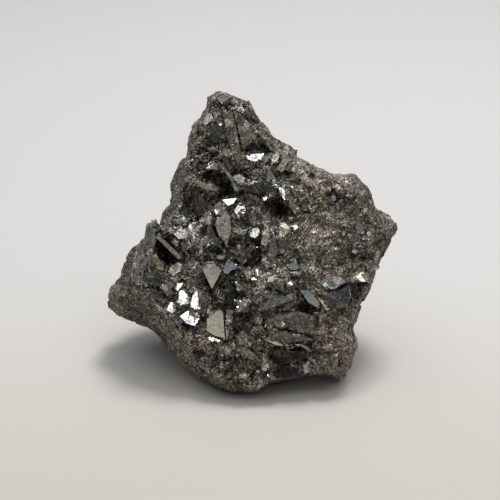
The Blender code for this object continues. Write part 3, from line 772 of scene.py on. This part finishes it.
@dataclass(frozen=True)
class OreFinish:
    """Steel-grey ore: bright or tarnished crystal faces, dull broken ground, tan granular sides.

    A pair named for a contrast, a depth or a relief has its value on open ore, then on granular
    ground. Splinters and shards have the size of their patches and how far they are drawn out
    there. Veins, lines and cracks have their size and their width. Facets have how far their
    levels differ and how steeply they tilt.
    """

    # Where the crystal faces end and how far the brown ground counts as granular.
    flat_edge: Pair = (0.3, 0.7)
    brown_grain: float = 0.7

    # Colours, and the tints that wander over them.
    ground: Colour = (0.450, 0.421, 0.366)
    tan: Colour = (0.310, 0.285, 0.240)
    brown: Colour = (0.350, 0.309, 0.258)
    cool: Colour = (0.94, 1.00, 1.05)
    warm: Colour = (1.04, 1.00, 0.94)
    plain: Colour = (1.00, 1.00, 1.00)
    stain: Colour = (1.05, 1.00, 0.94)
    stain_heights: Pair = (0.012, 0.028)
    hue_size: float = 5.0 * MM
    hue_spread: Colour = (0.42, 0.20, 0.42)

    # Sizes of the patterns.
    splinters: Pair = (4.5 * MM, 0.86)
    shards: Pair = (6.0 * MM, 0.45)
    cloud_size: float = 7.0 * MM
    grain_size: float = 0.34 * MM
    streak_size: float = 0.42 * MM
    speck_size: float = 0.29 * MM
    fibre_size: float = 0.26 * MM
    chip_size: float = 2.3 * MM
    splinter_size: float = 0.55 * MM
    sheet_size: float = 1.6 * MM
    ore_size: float = 11.0 * MM
    wide_size: float = 20.0 * MM
    strata: tuple[float, float, float, float] = (4.5 * MM, 0.6 * MM, 2.5 * MM, 2.2 * MM)
    veins: Pair = (12.0 * MM, 0.03)
    dark_lines: Pair = (1.1 * MM, 0.12)
    painted_highlight_lines: Pair = (0.8 * MM, 0.06)
    chip_cracks: Pair = (2.3 * MM, 0.07)
    fine_cracks: Pair = (0.9 * MM, 0.12)

    # How strongly they show on the crystal faces.
    crystal_shade: float = 0.85
    crystal_cloud: float = 0.5
    streak_band: Pair = (0.25, 0.75)
    crystal_streaks: float = 0.40
    fractured_streaks: float = 0.45
    fractured_texture: float = 0.55
    streak_roughness: float = 0.10
    tarnish_band: Pair = (0.35, 0.65)

    # How strongly they show on the broken ground.
    mean_shade: float = 0.80
    least_shade: float = 0.10
    chip_contrast: Pair = (0.75, 0.40)
    grain_contrast: Pair = (0.45, 1.40)
    crack_depth: Pair = (0.65, 0.15)
    cloud_contrast: float = 0.8
    strata_band: Pair = (0.1, 0.9)
    strata_shades: Pair = (0.60, 1.35)
    light_grains: float = 0.25
    wide_contrast: float = 1.6
    vein_depth: float = 0.6
    ore_depth: float = 0.45
    dark_line_depth: float = 0.55
    fine_crack_depth: float = 0.40
    # Painted highlight lines: how far they lie from the dark lines and how much they lighten the ground.
    painted_highlight_shift: tuple[float, float, float] = (0.1, 0.2, 0.3)
    painted_highlight_gain: float = 0.75
    fibre_contrast: float = 1.5
    speck_contrast: Pair = (0.5, 1.4)
    light_grain_band: Pair = (0.85, 0.97)
    ore_band: Pair = (0.50, 0.58)
    ore_share: float = 0.85

    # How rough and how metallic the ground is, with its glints, dull stone and clouds.
    ground_roughness: float = 0.50
    ground_metal: float = 0.50
    brown_dullness: float = 0.45
    dull_roughness: float = 0.16
    dull_metal: float = 0.36
    cloud_roughness: float = 0.2
    glint_band: Pair = (0.72, 0.95)
    glint_loss: float = 0.8
    glint_gloss: float = 0.14
    glint_metal: float = 0.10

    # The fine relief.
    strata_relief: float = 0.05 * MM
    grit_size: float = 0.25 * MM
    grit_relief: Pair = (0.015 * MM, 0.045 * MM)
    splinter_relief: Pair = (0.25, 0.70)
    splinter_facets: Pair = (0.10, 0.50)
    chip_relief: Pair = (1.0, 0.0)
    chip_facets: Pair = (0.01, 0.40)
    sheet_facets: Pair = (0.008, 0.16)
    wave_size: float = 0.7 * MM
    sheet_waves: float = 0.03 * MM

    def hues(self, w: OreTree) -> Wire:
        """A tint that wanders between rosy, olive and bluish, and is warmer low on the stone.

        Args:
            w: The ore's tree.

        Returns:
            The tint.
        """
        spread = w.noise(w.place, self.hue_size, 5.0, "Color").centred()
        tint = spread.vector("MULTIPLY", self.hue_spread).vector("ADD", self.plain)
        above = w.parts(w.place)[2].between(*self.stain_heights)
        return w.tinted(tint, w.mix(above, self.stain, self.plain))

    def texture(self, w: OreTree) -> Wire:
        """Fine light and dark: fibres in the ore, drawn out in its patches, and specks in the sides.

        Args:
            w: The ore's tree.

        Returns:
            A factor around 1.
        """
        specks = w.chance(w.place, self.speck_size, 0) - 0.5
        fibres = w.chance(w.drawn, self.fibre_size, 2) - 0.5
        low, high = self.speck_contrast
        return 1 + (low + (high - low) * w.side) * specks + self.fibre_contrast * (1 - w.side) * fibres

    def crystal(self, w: OreTree, texture: Wire) -> tuple[Wire, Wire, Wire]:
        """The crystal faces.

        Args:
            w: The ore's tree.
            texture: The fine light and dark.

        Returns:
            Their colour, roughness and depth of fracture.
        """
        surface = {lustre: (sheen.roughness, sheen.fracture, 0.0) for lustre, sheen in SHEENS.items()}
        rough, fracture, _ = w.parts(w.by_lustre(surface))
        streaks = self.crystal_streaks + self.fractured_streaks * fracture
        wear_and_shade = self.crystal_shade + streaks * (w.streak - 0.5) + self.crystal_cloud * (w.cloud - 0.5)
        # Each face's shade, partly painted light and shade, scales its colour.
        wear_and_shade = wear_and_shade * (1 + self.fractured_texture * fracture * (texture - 1)) * w.mark(Mark.SHADE)
        colour = w.by_lustre({lustre: sheen.colour for lustre, sheen in SHEENS.items()})
        tarnish = w.mix(w.cloud.between(*self.tarnish_band), self.cool, self.warm)
        colour = w.tinted(w.tinted(colour, tarnish), w.grey(wear_and_shade))
        return colour, rough + self.streak_roughness * (w.streak - 0.5), fracture

    def shade(self, w: OreTree, ore: Wire) -> Wire:
        """How light the broken ground is.

        Args:
            w: The ore's tree.
            ore: The patches of ore in the sides.

        Returns:
            The shade, from chips, layers, grains, wide patches, dark lines and painted highlight lines,
            with the spots' tone and painted shade.
        """
        chips = w.chance(w.shards, self.chip_size, 0)
        low, high = self.strata_shades
        shade = self.mean_shade + w.by_ground(self.chip_contrast) * (chips - 0.5)
        shade = shade + self.cloud_contrast * (w.cloud - 0.5)
        shade = shade * (low + (high - low) * w.strata.between(*self.strata_band))
        shade = shade * (1 + w.by_ground(self.grain_contrast) * (w.grains - 0.5))
        shade = shade + self.light_grains * w.grains.between(*self.light_grain_band)
        wide = self.wide_contrast * (w.noise(w.place, self.wide_size, 1.0) - 0.5)
        wide = wide - self.vein_depth * w.lines(w.place, *self.veins)
        shade = shade * (1 + w.side * wide - self.ore_depth * ore)
        shade = shade * (1 - self.dark_line_depth * w.lines(w.drawn, *self.dark_lines))
        shade = shade * (1 - w.by_ground(self.crack_depth) * w.cracks(w.shards, *self.chip_cracks))
        shade = shade * (1 - self.fine_crack_depth * w.cracks(w.drawn, *self.fine_cracks))
        # Thin painted highlight lines, lightening the ground's colour.
        highlight_place = w.drawn.vector("ADD", self.painted_highlight_shift)
        shade = shade + self.painted_highlight_gain * w.lines(highlight_place, *self.painted_highlight_lines)
        # The spots' tone, with painted shade in hollows, under overhangs and along the foot, scales the
        # ground.
        return shade.math("MAXIMUM", self.least_shade) * w.mark(Mark.TONE_AND_SHADE)

    def broken(self, w: OreTree, texture: Wire) -> tuple[Wire, Wire, Wire]:
        """The broken ground, with dull tan stone on the sides and ore breaking through it in patches.

        Args:
            w: The ore's tree.
            texture: The fine light and dark.

        Returns:
            Its colour, roughness and metallic share.
        """
        ore = w.noise(w.place, self.ore_size, 4.0).between(*self.ore_band) * w.side
        stone = w.side - self.ore_share * ore
        colour = w.mix(stone, w.mix(w.brown, self.ground, self.brown), self.tan)
        colour = w.tinted(w.tinted(colour, self.hues(w)), w.grey(self.shade(w, ore)))
        glint = w.grains.between(*self.glint_band) * (1 - self.glint_loss * stone)
        dull = (stone + self.brown_dullness * w.brown).clamped()
        rough = self.ground_roughness - self.glint_gloss * glint + self.dull_roughness * dull
        rough = rough + self.cloud_roughness * (w.cloud - 0.5)
        metal = self.ground_metal - self.dull_metal * dull + self.glint_metal * glint
        return w.tinted(colour, w.grey(texture)), rough, metal

    def relief(self, w: OreTree, fracture: Wire) -> Wire:
        """The fine relief: layers, grit, splinters and chips, or thin sheets on the crystal faces.

        Args:
            w: The ore's tree.
            fracture: The depth of fracture of the crystal faces.

        Returns:
            The height, in metres.
        """
        ridges = w.strata * self.strata_relief
        grit = w.noise(w.place, self.grit_size, 2.0) * w.by_ground(self.grit_relief)
        splinters = w.facets(w.drawn, self.splinter_size, *self.splinter_facets)
        splinters = splinters * w.by_ground(self.splinter_relief)
        chips = w.facets(w.shards, self.chip_size, *self.chip_facets) * w.by_ground(self.chip_relief)
        waves = w.noise(w.drawn, self.wave_size, 2.0) * self.sheet_waves
        sheets = w.facets(w.place, self.sheet_size, *self.sheet_facets) + waves
        return (1 - w.flat) * (ridges + grit + splinters + chips) + w.flat * fracture * sheets

    def material(self) -> bpy.types.Material:
        """Builds the material.

        Returns:
            The material, which reads Object coordinates and the Mark attributes.
        """
        made = bpy.data.materials.new("ore")
        made.use_nodes = True
        shader = made.node_tree.nodes["Principled BSDF"]
        w = OreTree(made.node_tree, self)
        texture = self.texture(w)
        crystal, crystal_rough, fracture = self.crystal(w, texture)
        broken, broken_rough, metal = self.broken(w, texture)
        w.connect(w.mix(w.flat, broken, crystal), shader.inputs["Base Color"])
        w.connect((metal + w.flat).clamped(), shader.inputs["Metallic"])
        rough = broken_rough + w.flat * (crystal_rough - broken_rough)
        w.connect(rough, shader.inputs["Roughness"])
        heights = {"Strength": 1.0, "Distance": 1.0, "Height": self.relief(w, fracture)}
        w.connect(w.node("ShaderNodeBump", None, heights), shader.inputs["Normal"])
        return made


# ---------------------------------------------------------------- the stone


def divided(corners: np.ndarray, faces: np.ndarray, cuts: np.ndarray) -> tuple[np.ndarray, np.ndarray]:
    """Divides triangles whose sides are cut in two.

    Args:
        corners: Corner places, with the new ones.
        faces: Triangles as rows of three corner numbers.
        cuts: For each triangle's three sides the number of the corner in its middle, or -1.

    Returns:
        The new triangles and, for each, which triangle it came from.
    """
    counts = np.sum(cuts >= 0, axis=1)
    whole, one, two, three = (counts == number for number in range(4))
    first = np.where(one, np.argmax(cuts >= 0, axis=1), (np.argmin(cuts, axis=1) + 1) % 3)
    turn = (first[:, None] + np.arange(3)) % 3
    a, b, c = np.take_along_axis(faces, turn, axis=1).T
    ab, bc, ca = np.take_along_axis(cuts, turn, axis=1).T
    from_a = np.linalg.norm(corners[a] - corners[bc], axis=1)
    from_c = np.linalg.norm(corners[ab] - corners[c], axis=1)
    pieces = [
        (whole, (a, b, c)),
        (one, (a, ab, c)), (one, (ab, b, c)),
        (two, (ab, b, bc)),
        (two & (from_a < from_c), (a, ab, bc)), (two & (from_a < from_c), (a, bc, c)),
        (two & (from_a >= from_c), (a, ab, c)), (two & (from_a >= from_c), (ab, bc, c)),
        (three, (a, ab, ca)), (three, (ab, b, bc)), (three, (ca, bc, c)), (three, (ab, bc, ca)),
    ]
    made = [np.stack(corner_numbers, axis=1)[chosen] for chosen, corner_numbers in pieces]
    return np.concatenate(made), np.concatenate([np.flatnonzero(chosen) for chosen, _ in pieces])


@dataclass
class BrokenStone:
    """The stone itself, with its broken ground cut much finer than the solid it is made from."""

    CHIP_SIZES: ClassVar[tuple[str, ...]] = ("Cell", "Step", "Slope", "Stretch")
    FACE_MARKS: ClassVar[tuple[Mark, ...]] = (Mark.FLAT, Mark.WEAR, Mark.LUSTRE, Mark.SHADE)

    # How near corners are joined, and how finely the stone is divided at depths behind the face.
    weld: float = 1e-6
    sliver: float = 1e-7
    edge_depths: tuple[float, ...] = (5 * MM, 9 * MM, 17 * MM, 26 * MM)
    edge_sizes: tuple[float, ...] = (0.355 * MM, 0.50 * MM, 0.60 * MM, 1.15 * MM)
    longest_side: float = 1.54
    most_passes: int = 8

    # Which flats are crystal faces, named or stray, and the kinds and shades of the stray ones.
    face_depth: float = -7 * MM
    crystal_area: float = 0.95e-6
    stray_area: float = 5.0e-6
    flat_cosine: float = math.cos(math.radians(1.0))
    look_reach: float = 5.0
    look_facing: float = 0.7
    past_rim: float = 4.0
    small_past_rim: float = -9.0
    small_flat: int = 3
    least_area: float = 1e-12
    stray_kinds: tuple[Lustre, ...] = (
        Lustre.GREY, Lustre.GREY, Lustre.GREY, Lustre.DARK, Lustre.DARK, Lustre.TAN, Lustre.TAN,
        Lustre.PALE, Lustre.BROWN, Lustre.BRIGHT,
    )
    stray_shades: Pair = (0.7, 1.2)
    seed: int = 5

    # Where the ground turns granular, across the rim and behind the face, and where brown.
    matrix_fade: Pair = (-3.0, 3.0)
    matrix_depths: Pair = (6 * MM, 9 * MM)
    brown_fade: Pair = (285.0, 315.0)

    # The ground's chips, each with its size, step, slope and stretch, its grain and their limits.
    chips: tuple[tuple[float, float, float, float], ...] = (
        (5.0 * MM, 0.06, 0.42, 0.0), (2.6 * MM, 0.05, 0.45, 0.50), (1.4 * MM, 0.02, 0.10, 0.85),
    )
    patch: float = 6.0 * MM
    grain: float = 0.03 * MM
    grain_size: float = 0.6 * MM
    most: float = 0.45 * MM
    calm: float = 0.55

    # How the ground bites into the edges of the crystal faces, and their own slight relief.
    bite_size: float = 1.1 * MM
    bite_band: Pair = (0.35, 0.75)
    bite_reach: float = 1.2
    bite_edge: Pair = (-0.02, 0.10)
    crystal_relief: float = 0.025
    deepest_inset: float = 0.8 * MM
    inset_start: float = 0.7
    least_inset: float = 0.05

    def merged_copy(self, node: bpy.types.Object) -> bmesh.types.BMesh:
        """Copies the node's triangles and joins their shared corners.

        Args:
            node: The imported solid.

        Returns:
            The copy.
        """
        mesh = bmesh.new()
        mesh.from_mesh(node.data)
        bmesh.ops.remove_doubles(mesh, verts=mesh.verts, dist=self.weld)
        bmesh.ops.dissolve_degenerate(mesh, dist=self.sliver, edges=mesh.edges)
        bmesh.ops.triangulate(mesh, faces=mesh.faces)
        mesh.normal_update()
        return mesh

    def flats(self, mesh: bmesh.types.BMesh) -> Iterable[list[bmesh.types.BMFace]]:
        """Finds the flats of the stone.

        Args:
            mesh: The merged stone.

        Yields:
            Joined faces that lie in one plane.
        """
        seen: set[bmesh.types.BMFace] = set()
        for seed in mesh.faces:
            if seed in seen:
                continue
            flat, ends = [seed], [seed]
            seen.add(seed)
            while ends:
                for edge in ends.pop().edges:
                    for face in edge.link_faces:
                        if face not in seen and face.normal.dot(seed.normal) > self.flat_cosine:
                            seen.add(face)
                            flat.append(face)
                            ends.append(face)
            yield flat

    def mark_crystals(self, mesh: bmesh.types.BMesh) -> int:
        """Marks the larger flats as crystal faces and gives each its lustre and shade.

        Args:
            mesh: The merged stone.

        Returns:
            How many crystal faces there are.
        """
        layers = {mark: mesh.faces.layers.float.new(mark.value) for mark in self.FACE_MARKS}
        chance = np.random.default_rng(self.seed)
        found = 0
        for flat in self.flats(mesh):
            area = sum(face.calc_area() for face in flat)
            middle = sum((face.calc_center_median() * face.calc_area() for face in flat), Vector())
            x, y, height = FACE.read(np.array([middle / max(area, self.least_area)]))[0]
            look = min(LOOKS, key=lambda known: math.hypot(known.x - x, known.y - y))
            named = math.hypot(look.x - x, look.y - y) < self.look_reach
            named = named and flat[0].normal.dot(FACE.out) > self.look_facing
            lustre, shade = look.lustre, look.shade
            if not named:
                lustre = self.stray_kinds[chance.integers(len(self.stray_kinds))]
                shade = chance.uniform(*self.stray_shades)
            limit = self.past_rim if named or len(flat) > self.small_flat else self.small_past_rim
            at_front = height > self.face_depth and signed_distance(np.array([[x, y]]), RIM)[0] < limit
            if area < (self.crystal_area if named else self.stray_area) or not at_front:
                continue
            found += 1
            values = (1.0, SHEENS[lustre].wear, lustre.value, shade)
            for face in flat:
                for mark, value in zip(self.FACE_MARKS, values):
                    face[layers[mark]] = value
        return found

    def refined(self, mesh: bmesh.types.BMesh) -> bpy.types.Mesh:
        """Divides the triangles until their sides are short, shorter on the crystal face than behind.

        Args:
            mesh: The merged and marked stone.

        Returns:
            The stone in small triangles, each with its parent's marks.
        """
        mesh.verts.index_update()
        corners = np.array([corner.co for corner in mesh.verts])
        faces = np.array([[corner.index for corner in face.verts] for face in mesh.faces])
        parents = np.arange(len(faces))
        for _ in range(self.most_passes):
            sides = np.sort(faces[:, [[0, 1], [1, 2], [2, 0]]].reshape(-1, 2), axis=1)
            keys, owners = np.unique(sides[:, 0] * len(corners) + sides[:, 1], return_inverse=True)
            ends = corners[np.stack([keys // len(corners), keys % len(corners)], axis=1)]
            middles = ends.mean(axis=1)
            depths = (np.array(FACE.origin) - middles) @ np.array(FACE.out)
            lengths = np.linalg.norm(ends[:, 0] - ends[:, 1], axis=1)
            long = lengths > self.longest_side * np.interp(depths, self.edge_depths, self.edge_sizes)
            if not long.any():
                break
            cuts = np.where(long, len(corners) + np.cumsum(long) - 1, -1)[owners].reshape(-1, 3)
            corners = np.concatenate([corners, middles[long]])
            faces, kept = divided(corners, faces, cuts)
            parents = parents[kept]
        data = bpy.data.meshes.new("stone_base")
        data.from_pydata(corners.tolist(), [], faces.tolist())
        for mark in self.FACE_MARKS:
            layer = mesh.faces.layers.float[mark.value]
            write_mark(data, mark, np.array([face[layer] for face in mesh.faces])[parents], "FACE")
        return data

    def mark_insets(self, data: bpy.types.Mesh) -> None:
        """Gives each corner of the crystal faces its distance to the open ground, from 0 to 1.

        Args:
            data: The refined stone, all in triangles.
        """
        faces = np.empty(len(data.polygons), dtype=np.float32)
        data.attributes[Mark.FLAT.value].data.foreach_get("value", faces)
        drop_marks(data, Mark.FLAT)
        numbers = np.empty(len(data.loops), dtype=np.int32)
        data.loops.foreach_get("vertex_index", numbers)
        insets = np.zeros(len(data.vertices), dtype=np.float32)
        np.maximum.at(insets, numbers, np.repeat(faces, 3))
        open_ground = KDTree(int(np.sum(insets == 0)))
        for number in np.flatnonzero(insets == 0):
            open_ground.insert(data.vertices[number].co, int(number))
        open_ground.balance()
        start = self.edge_sizes[0] * self.inset_start
        for number in np.flatnonzero(insets):
            distance = open_ground.find(data.vertices[number].co)[2] - start
            insets[number] = min(max(distance / self.deepest_inset, self.least_inset), 1.0)
        write_mark(data, Mark.INSET, insets)

    def mark_grounds(self, data: bpy.types.Mesh) -> None:
        """Gives each corner its shares of granular matrix and of brown ground, its calm, and its tone
        with the painted shade of the dark spots.

        Args:
            data: The refined stone.
        """
        x, y, height = FACE.read_mesh(data).T
        beyond = signed_distance(np.stack([x, y], axis=1), RIM)
        matrix = np.maximum(np.interp(beyond, self.matrix_fade, (0, 1)),
                            np.interp(-height, self.matrix_depths, (0, 1)))
        brown = np.interp(x, self.brown_fade, (0, 1))
        # The dark spots paint shade into hollows, under overhangs and along the foot; the others set
        # tone.
        tone_and_shade = np.ones(len(x))
        for spot in TONE_AND_SHADE_SPOTS:
            distance = np.hypot(x - spot.x, y - spot.y)
            tone_and_shade *= 1 + (spot.shade - 1) * np.exp(-((distance / spot.reach) ** 2))
        write_mark(data, Mark.TONE_AND_SHADE, tone_and_shade)
        write_mark(data, Mark.MATRIX, matrix)
        write_mark(data, Mark.BROWN, brown)
        write_mark(data, Mark.CALM, np.maximum(matrix, brown))

    def relief_tree(self, material: bpy.types.Material) -> ShapeTree:
        """Breaks the ground into chips and grain and leaves the crystal faces flat.

        Args:
            material: The ore.

        Returns:
            The tree.
        """
        sizes = {"Grain": self.grain, "Patch": self.patch, "Most": self.most, "Calm": self.calm,
                 "Crystal relief": self.crystal_relief}
        for number, values in enumerate(self.chips, 1):
            sizes |= {f"{label} {number}": value for label, value in zip(self.CHIP_SIZES, values)}
        tree = ShapeTree("broken_ground", sizes)
        place = tree.node("GeometryNodeInputPosition")
        normal = tree.node("GeometryNodeInputNormal")
        height = (tree.noise(place, self.grain_size, 3.0) - 0.5) * tree.given("Grain") * 2
        for number in range(1, len(self.chips) + 1):
            cell, step, slope, stretch = (tree.given(f"{label} {number}") for label in self.CHIP_SIZES)
            drawn = tree.draw_out(place, tree.given("Patch"), stretch)
            height = height + tree.facets(drawn, cell, step, slope)
        height = height.math("MINIMUM", tree.given("Most"))
        height = height * (1 - tree.carried(Mark.CALM) * tree.given("Calm"))
        bites = tree.noise(place, self.bite_size, 4.0).between(*self.bite_band)
        whole = tree.carried(Mark.INSET) * self.bite_reach - bites * tree.carried(Mark.WEAR)
        whole = whole.between(*self.bite_edge)
        stone = tree.marked(tree.given("Geometry"), Mark.FLAT, whole, "POINT")
        move = normal.vector("SCALE", height * (1 - whole * (1 - tree.given("Crystal relief"))))
        stone = tree.node("GeometryNodeSetPosition", None, {"Geometry": stone, "Offset": move})
        x, y, z = tree.parts(tree.node("GeometryNodeInputPosition"))
        rested = tree.node("ShaderNodeCombineXYZ", None, {0: x, 1: y, 2: z.math("MAXIMUM", 0.0)})
        stone = tree.node("GeometryNodeSetPosition", None, {"Geometry": stone, "Position": rested})
        tree.close(stone, material)
        return tree

    def build(self, node: bpy.types.Object, material: bpy.types.Material) -> bpy.types.Object:
        """Makes the stone.

        Args:
            node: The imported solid.
            material: The ore.

        Returns:
            The finished piece.
        """
        mesh = self.merged_copy(node)
        LOG.info("crystal faces: %d", self.mark_crystals(mesh))
        data = self.refined(mesh)
        mesh.free()
        self.mark_insets(data)
        self.mark_grounds(data)
        base = add_piece("stone_base", data)
        stone = self.relief_tree(material).grow(base, "stone")
        bpy.data.objects.remove(base)
        drop_marks(stone.data, Mark.INSET, Mark.WEAR, Mark.CALM)
        stone.data.shade_flat()
        return stone


@dataclass
class CrystalCrust:
    """Small crystals sprinkled over the open parts of the crystal face."""

    spacing: float = 2.3 * MM
    density: float = 200000.0
    smallest: float = 0.25 * MM
    largest: float = 0.80 * MM
    cube_side: float = 1.5
    pointed_side: float = 2.0
    stretch: Pair = (0.7, 1.3)
    shades: Pair = (0.7, 1.3)
    kinds: tuple[Lustre, ...] = (
        Lustre.GREY, Lustre.GREY, Lustre.DARK, Lustre.DARK, Lustre.TAN, Lustre.BROWN, Lustre.PALE,
        Lustre.PALE,
    )
    seed: int = 3

    # Where they grow: within the rim, not deep behind the face, and fewer on its plateau.
    inside_rim: Pair = (-15.0, -5.0)
    depths: Pair = (-7 * MM, -5 * MM)
    plateau_start: float = 300.0
    on_plateau: float = 0.35

    def mask(self, stone: bpy.types.Object) -> None:
        """Marks on the stone where the small crystals may grow.

        Args:
            stone: The finished stone.
        """
        x, y, height = FACE.read_mesh(stone.data).T
        beyond = signed_distance(np.stack([x, y], axis=1), RIM)
        room = np.interp(beyond, self.inside_rim, (1, 0)) * np.interp(height, self.depths, (0, 1))
        write_mark(stone.data, Mark.ROOM, room * np.where(x > self.plateau_start, self.on_plateau, 1.0))

    def seeds(self, tree: ShapeTree) -> Wire:
        """The shapes that a small crystal may have: a cube and an octahedron.

        Args:
            tree: The tree to add to.

        Returns:
            The two shapes, as instances.
        """
        cube = tree.node("GeometryNodeMeshCube", None, {"Size": (self.cube_side,) * 3}, "Mesh")
        larger = tree.node("GeometryNodeMeshCube", None, {"Size": (self.pointed_side,) * 3}, "Mesh")
        pointed = tree.node("GeometryNodeDualMesh", None, {"Mesh": larger})
        shapes = tree.node("GeometryNodeGeometryToInstance", None, {0: cube})
        tree.connect(pointed, shapes.socket.node.inputs[0])
        return shapes

    def tree(self, material: bpy.types.Material) -> ShapeTree:
        """Scatters, turns and sizes the crystals.

        Args:
            material: The ore.

        Returns:
            The tree.
        """
        tree = ShapeTree("crystal_crust", {
            "Density": self.density, "Spacing": self.spacing, "Smallest": self.smallest,
            "Largest": self.largest})
        room = (tree.carried(Mark.ROOM) * (1 - tree.carried(Mark.FLAT))).clamped()
        spots = tree.node(
            "GeometryNodeDistributePointsOnFaces", {"distribute_method": "POISSON"},
            {"Mesh": tree.given("Geometry"), "Distance Min": tree.given("Spacing"),
             "Density Max": tree.given("Density"), "Density Factor": room, "Seed": self.seed}, "Points")
        turn = tree.random((0.0,) * 3, (math.tau,) * 3, 1)
        reach = tree.random(tree.given("Smallest"), tree.given("Largest"), 2)
        low, high = self.stretch
        long = tree.random((low,) * 3, (high,) * 3, 3)
        grown = tree.node("GeometryNodeInstanceOnPoints", None, {
            "Points": spots, "Instance": self.seeds(tree), "Pick Instance": True,
            "Rotation": turn, "Scale": long.vector("SCALE", reach)})
        ends = {4: 0, 5: len(self.kinds) - 1, "Seed": 10}
        choice = tree.node("FunctionNodeRandomValue", {"data_type": "INT"}, ends, 2)
        lustre: Any = 0.0
        for number, kind in enumerate(self.kinds):
            lustre = lustre + choice.math("COMPARE", float(number), 0.1) * float(kind.value)
        shade = tree.random(*self.shades, 11)
        for mark, value in ((Mark.LUSTRE, lustre), (Mark.SHADE, shade), (Mark.FLAT, 1.0)):
            grown = tree.marked(grown, mark, value, "INSTANCE")
        tree.close(grown, material)
        return tree

    def build(self, stone: bpy.types.Object, material: bpy.types.Material) -> bpy.types.Object:
        """Grows the crystals on the stone.

        Args:
            stone: The finished stone.
            material: The ore.

        Returns:
            The crystals as one piece.
        """
        self.mask(stone)
        crust = self.tree(material).grow(stone, "crystal_crust")
        drop_marks(stone.data, Mark.ROOM)
        crust.data.shade_flat()
        return crust


# ---------------------------------------------------------------- studio


@dataclass(frozen=True)
class Lamp:
    """A square soft light that points at the stone."""

    name: str
    place: tuple[float, float, float]
    size: float
    power: float
    colour: Colour

    def build(self) -> None:
        """Puts the light in the scene."""
        data = bpy.data.lights.new(self.name, "AREA")
        data.size = self.size
        data.energy = self.power
        data.color = self.colour
        obj = bpy.data.objects.new(self.name, data)
        bpy.context.scene.collection.objects.link(obj)
        obj.location = self.place
        obj.rotation_euler = (FACE.origin - obj.location).to_track_quat("-Z", "Y").to_euler()


@dataclass
class Studio:
    """Pale floor, soft light from above and the camera square to the crystal face."""

    distance: float = 0.300
    sensor: float = 36.0
    grid_steps: float = 500.0
    floor_colour: Colour = (0.715, 0.705, 0.695)
    # Painted shadow and warm bounce light on the floor in front of the stone, and where it fades out.
    floor_front_shade: Colour = (0.655, 0.625, 0.565)
    floor_shade_fade: Pair = (-0.090, 0.050)
    floor_reach: float = 2.0
    floor_profile: tuple[Pair, ...] = (
        (-1.6, 0.0), (0.7, 0.0), (0.95, 0.04), (1.12, 0.16), (1.2, 0.35), (1.2, 1.6),
    )
    floor_roughness: float = 0.75
    floor_gloss: float = 0.2
    lamps: tuple[Lamp, ...] = (
        Lamp("key", (0.10, 0.14, 0.60), 0.18, 2.0, (1.0, 0.985, 0.96)),
        Lamp("panel", (0.205, -0.25, 0.63), 0.34, 0.45, (1.0, 1.0, 1.0)),
        Lamp("ceiling", (-0.05, 0.22, 1.15), 2.0, 8.9, (0.98, 0.99, 1.0)),
    )
    world: Colour = (0.15, 0.15, 0.15)

    def paint(self) -> bpy.types.Material:
        """Builds the floor's paint.

        Returns:
            A pale grey, a little darker and warmer in front with painted shadow and warm bounce light.
        """
        made = bpy.data.materials.new("floor_paint")
        made.use_nodes = True
        shader = made.node_tree.nodes["Principled BSDF"]
        w = Wiring(made.node_tree)
        depth = w.parts(w.node("ShaderNodeTexCoord", output="Object"))[1]
        # Painted shadow and warm bounce light towards the front.
        colour = w.mix(depth.between(*self.floor_shade_fade), self.floor_front_shade, self.floor_colour)
        w.connect(colour, shader.inputs["Base Color"])
        w.connect(self.floor_roughness, shader.inputs["Roughness"])
        w.connect(self.floor_gloss, shader.inputs["Specular IOR Level"])
        return made

    def floor(self) -> None:
        """Makes a pale floor that curves up into a wall far behind."""
        mesh = bmesh.new()
        rows = []
        for y, z in self.floor_profile:
            rows.append([mesh.verts.new((x, y, z)) for x in (-self.floor_reach, self.floor_reach)])
        for (a, b), (c, d) in zip(rows, rows[1:]):
            mesh.faces.new((a, b, d, c))
        data = bpy.data.meshes.new("floor")
        mesh.to_mesh(data)
        mesh.free()
        data.shade_smooth()
        data.materials.append(self.paint())
        add_piece("floor", data)

    def camera(self) -> None:
        """Sets the camera square to the face, with the face's grid across the whole of its frame."""
        data = bpy.data.cameras.new("camera")
        data.sensor_width = self.sensor
        data.lens = self.sensor * self.distance / (self.grid_steps * FACE.step)
        obj = bpy.data.objects.new("camera", data)
        bpy.context.scene.collection.objects.link(obj)
        obj.location = FACE.origin + FACE.out * self.distance
        obj.rotation_euler = (-FACE.out).to_track_quat("-Z", "Y").to_euler()
        bpy.context.scene.camera = obj

    def build(self) -> None:
        """Sets up the floor, the lights, the surroundings and the camera."""
        self.floor()
        for lamp in self.lamps:
            lamp.build()
        world = bpy.data.worlds.new("surroundings")
        world.use_nodes = True
        world.node_tree.nodes["Background"].inputs["Color"].default_value = (*self.world, 1.0)
        bpy.context.scene.world = world
        bpy.context.scene.view_settings.view_transform = "Standard"
        self.camera()


# ---------------------------------------------------------------- putting it together


def keep(piece: bpy.types.Object, replaced: Optional[str] = None) -> None:
    """Gives a finished piece to the frame.

    Args:
        piece: The piece.
        replaced: The node that it stands for, if any.
    """
    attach(piece, BODY)
    if replaced:
        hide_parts(replaced)
    LOG.info("%s: %d triangles", piece.name, sum(len(p.vertices) - 2 for p in piece.data.polygons))


def main() -> None:
    """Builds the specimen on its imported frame."""
    logging.basicConfig(level=logging.INFO, format="%(name)s: %(message)s")
    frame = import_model()
    ore = OreFinish().material()
    stone = BrokenStone().build(frame["nodes"][NODE], ore)
    keep(stone, NODE)
    keep(CrystalCrust().build(stone, ore))
    Studio().build()


if __name__ == "__main__":
    main()
